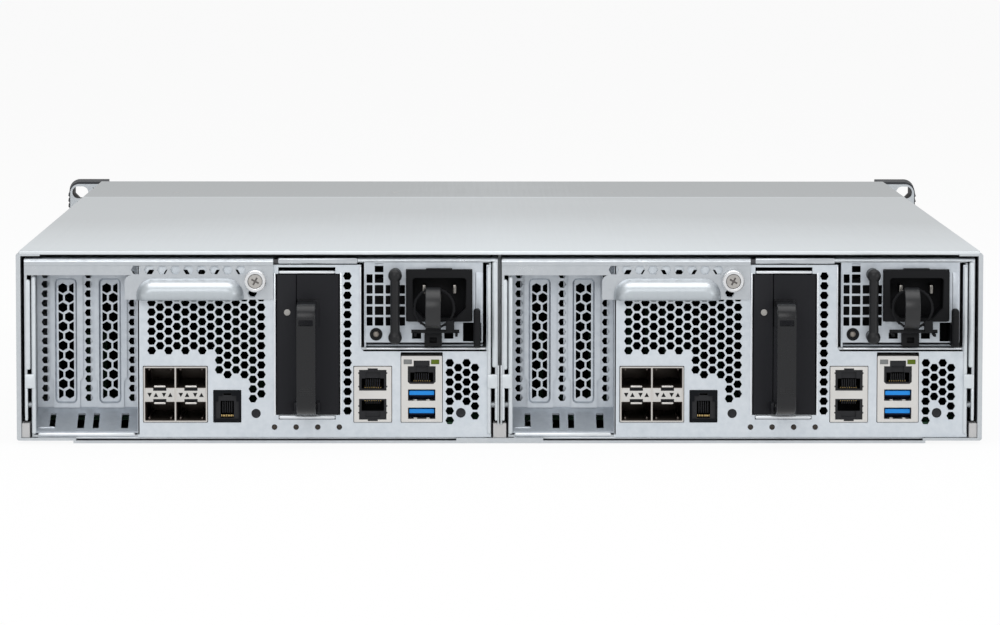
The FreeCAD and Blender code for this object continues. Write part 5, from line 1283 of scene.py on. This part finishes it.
edge_x = (INLET.x0 + 2.9, INLET.x1 - 2.7)
low_z, high_z = INLET.z0 + 1.6, INLET.z1 - 3.8
ROUND = 1.5
cavity = np.concatenate([
    [(edge_x[0] + 5, low_z), (edge_x[1] - 5, low_z), (edge_x[1] - 0.3, low_z + 4.7)],
    arc(edge_x[1] - ROUND, high_z - ROUND, ROUND, 0.0, HALF_PI, 5),
    arc(edge_x[0] + ROUND, high_z - ROUND, ROUND, HALF_PI, np.pi, 5),
    [(edge_x[0] + 0.3, low_z + 4.7)],
])
in_front = INLET.y0
shroud = pierced(
    box_outline(INLET.x0, INLET.x1, INLET.z0, INLET.z1, 1.3), [cavity], in_front + 0.3, FACE_Y + 12
)
cavity_centre = np.mean(cavity, axis=0)
lip = pierced(
    box_outline(INLET.x0 + 0.3, INLET.x1 - 0.3, INLET.z0 + 0.3, INLET.z1 - 0.3, 1.1),
    [cavity_centre + (cavity - cavity_centre) * 1.03], in_front, in_front + 0.4,
)
inlet_x = (INLET.x0 + INLET.x1) / 2
brow = block(*about(inlet_x, 6), in_front + 0.2, FACE_Y, INLET.z1 - 0.2, INLET.z1 + 0.6, 0.25)
inlet_floor = block(
    INLET.x0 + 0.5, INLET.x1 - 0.5, FACE_Y + 11, FACE_Y + 12.5, INLET.z0 + 0.5, INLET.z1 - 0.5, 0.2
)
both(
    "inlet_shroud", joined(shroud, lip, brow, inlet_floor), black_matte, body="psu",
    nodes=["psu_inlet"]
)
blade_x = (edge_x[0] + edge_x[1]) / 2
blades = [
    block(*about(x, 0.75), in_front + 4.2, FACE_Y + 11.5, *about(z, 2.0), 0.35)
    for x, z in ((blade_x - 7, high_z - 5.5), (blade_x + 7, high_z - 5.5), (blade_x, high_z - 9.5))
]
# Painted shade: the blades' dark grey stands for the shade deep in the shroud
blade_metal_shaded = metal("blade_metal_shaded", (0.30, 0.29, 0.27), (0.16, 0.15, 0.14), 0.25)
both("inlet_blades", joined(*blades), blade_metal_shaded, body="psu")

# Status lamp: a black ring with a smoked lens
ring = pierced(circle(*LAMP_AT, 2.9, 36), [circle(*LAMP_AT, 1.45, 28)], FACE_Y - 0.5, FACE_Y + 0.05)
both("supply_lamp_ring", ring, black_matte, body="psu")
lens = turned(
    [(0.2, FACE_Y - 0.35), (0.9, FACE_Y - 0.25), (1.4, FACE_Y + 0.1), (1.4, FACE_Y + 2)], *LAMP_AT,
    sides=24
)
smoked_lens = metal("smoked_lens", (0.30, 0.27, 0.24), (0.16, 0.14, 0.12), 0.3, 0.2)
both("supply_lamp", lens, smoked_lens, body="psu")

# Pull: an upright moulded rod that swells to a ball at each end, on two short legs
PULL = near("psu_handle")
pull_black = moulded("pull_black", (0.0085, 0.009, 0.0105), 0.36, shine=0.3)
pull_x = (PULL.x0 + PULL.x1) / 2
ball = 3.15
ball_low, ball_high = PULL.z0 + ball, PULL.z1 - ball
axis_y = PULL.y0 + ball
height = np.linspace(PULL.z0, PULL.z1, 90)
from_low, from_high = np.abs(height - ball_low), np.abs(height - ball_high)
from_ball = np.minimum(from_low, from_high)
ball_r = np.sqrt(np.clip(ball**2 - from_ball**2, 0.0004, None))
rod_r = np.where((height > ball_low) & (height < ball_high), 2.15, 0.0)
neck = 0.15 * rod_r * np.exp(-((from_ball - 3.2) / 1.2) ** 2)
radius = np.sqrt(np.maximum(ball_r, rod_r) ** 2 + neck)
around = np.arange(32) * 2 * np.pi / 32
pull_rings = np.stack([
    pull_x + radius[:, None] * np.cos(around), axis_y + radius[:, None] * np.sin(around),
    np.broadcast_to(height[:, None], (90, 32)),
], -1)
legs = [
    turned([(2.7, axis_y), (2.6, FACE_Y - 1), (2.9, FACE_Y)], pull_x, z, sides=32)
    for z in (ball_low, ball_high)
]
both(
    "supply_pull", joined(lofted(pull_rings), *legs), pull_black, body="psu", nodes=["psu_handle"],
    smooth=50.0
)

# Squeeze latch: a rounded tab with a thumb ledge, on the blade that snaps behind the tray's wall
tab = block(
    LATCH.x0, LATCH.x1, LATCH.y0, LATCH.y0 + 7.2, LATCH.z0, LATCH.z1, 1.4, 1.5, along="z", steps=6
)
ledge = block(
    LATCH.x0 + 0.3, LATCH.x1 - 0.3, LATCH.y0 - 0.25, LATCH.y0 + 1, LATCH.z1 - 3.6, LATCH.z1 - 2.9,
    0.2
)
blade = block(LATCH.x0, LATCH.x1, LATCH.y0 + 2, LATCH.y1, LATCH.z0, 55.5, 0.3)
both("latch_tab", joined(tab, ledge, blade), black_matte, body="psu_latch", nodes=["psu_latch"])


# Cord retainer: a nylon tie. A toothed loop and a springy band cross in front of the inlet, and a
# wire under them turns in two notched lugs of the clip on the supply's face.

clip_x = 187.92
clip_y, clip_z = -7.0, 52.3
ring_x, ring_z, ring_r = clip_x + 0.5, clip_z + 9.0 + 1.6, 9.0
turns = np.arange(96) * 2 * np.pi / 96
teeth = 0.16 * np.sign(np.sin(48 * turns))
section = rounded_outline(1.2, 1.3, 0.4, 3)
loop_rings = np.zeros((96, len(section), 3))
reach = ring_r + section[None, :, 0] + np.where(section[None, :, 0] > 0, teeth[:, None], 0)
loop_rings[:, :, 0] = ring_x + reach * np.cos(turns)[:, None]
loop_rings[:, :, 1] = clip_y + section[None, :, 1]
loop_rings[:, :, 2] = ring_z + reach * np.sin(turns)[:, None]
loop = lofted(np.concatenate([loop_rings, loop_rings[:1]]), closed_ends=False)
band_path = arc(clip_y, ring_z, ring_r, HALF_PI, 3 * HALF_PI, 32)
band = ribbon(band_path, 7.0, 1.2, clip_x, 0.4)
wire = profile_run(circle(clip_y, clip_z, 0.82, 16), clip_x - 10, clip_x + 12, along="x")
riser = block(*about(clip_x, 3.5), *about(clip_y, 0.7), clip_z, clip_z + 2.6, 0.3)
release = block(clip_x + 5.8, clip_x + 9.7, clip_y - 3.0, clip_y + 0.5, clip_z, clip_z + 5, 0.4)
both(
    "retainer_loop", joined(loop, wire, riser, release), black_matte, body="cable_strap",
    nodes=["cable_strap"], smooth=40.0,
)
nylon = moulded("nylon", (0.0125, 0.013, 0.0145), 0.34, shine=0.42)
both("retainer_band", band, nylon, body="cable_strap", smooth=40.0)
clip_base = pierced(
    box_outline(*about(clip_x, 4), 45.1, 51.1, 0.5),
    [box_outline(*about(clip_x, 1.7), 46.6, 49.2, 0.3)],
    -3.6, FACE_Y,
)
clip_back = block(*about(clip_x, 2), -0.8, FACE_Y - 0.1, 46.4, 49.4, 0.1)
clip_lugs = [
    block(x, x + 1.2, -8.6, FACE_Y, clip_z - 2.4, clip_z - 0.9, 0.3)
    for x in (clip_x - 8.8, clip_x + 10.1)
]
both("retainer_clip", joined(clip_base, clip_back, *clip_lugs), black_matte, body="psu")


# What is behind the panel and on the drive side: coated board, fans, drives, sleds and ear caps
# keep their own shapes, and get a finish each.

catch_grey = moulded("catch_grey", (0.54, 0.54, 0.54), 0.55, specks=260.0)
board_green = moulded("board_green", (0.030, 0.085, 0.045), 0.42)
drive_metal = metal("drive_metal", (0.50, 0.51, 0.53), (0.38, 0.39, 0.41), 0.42, 0.8)
ear_plastic = moulded("ear_plastic", (0.050, 0.052, 0.058), 0.55)
for material, edge, nodes in (
    (board_green, 0.0, ("main_board_a", "main_board_b", "midplane_board")),
    (black_matte, 0.0, ("cooling_fans_a", "cooling_fans_b")),
    (catch_grey, 0.4, ("catch_blocks",)),
    (tin_shell, 0.0, ("cover_screws",)),
    (zinc_sheet, 0.0, ("rack_ear_left", "rack_ear_right")),
    (ear_plastic, 0.0, ("ear_cap_left", "ear_cap_right", "drive_sleds_02_24", "drive_sled_01")),
    (black_satin, 0.2, ("drive_latches_02_24", "drive_lever_01", "drive_button_01")),
    (drive_metal, 0.0, ("solid_state_drives_02_24", "solid_state_drive_01")),
):
    for node in nodes:
        dress(node, material, edge)
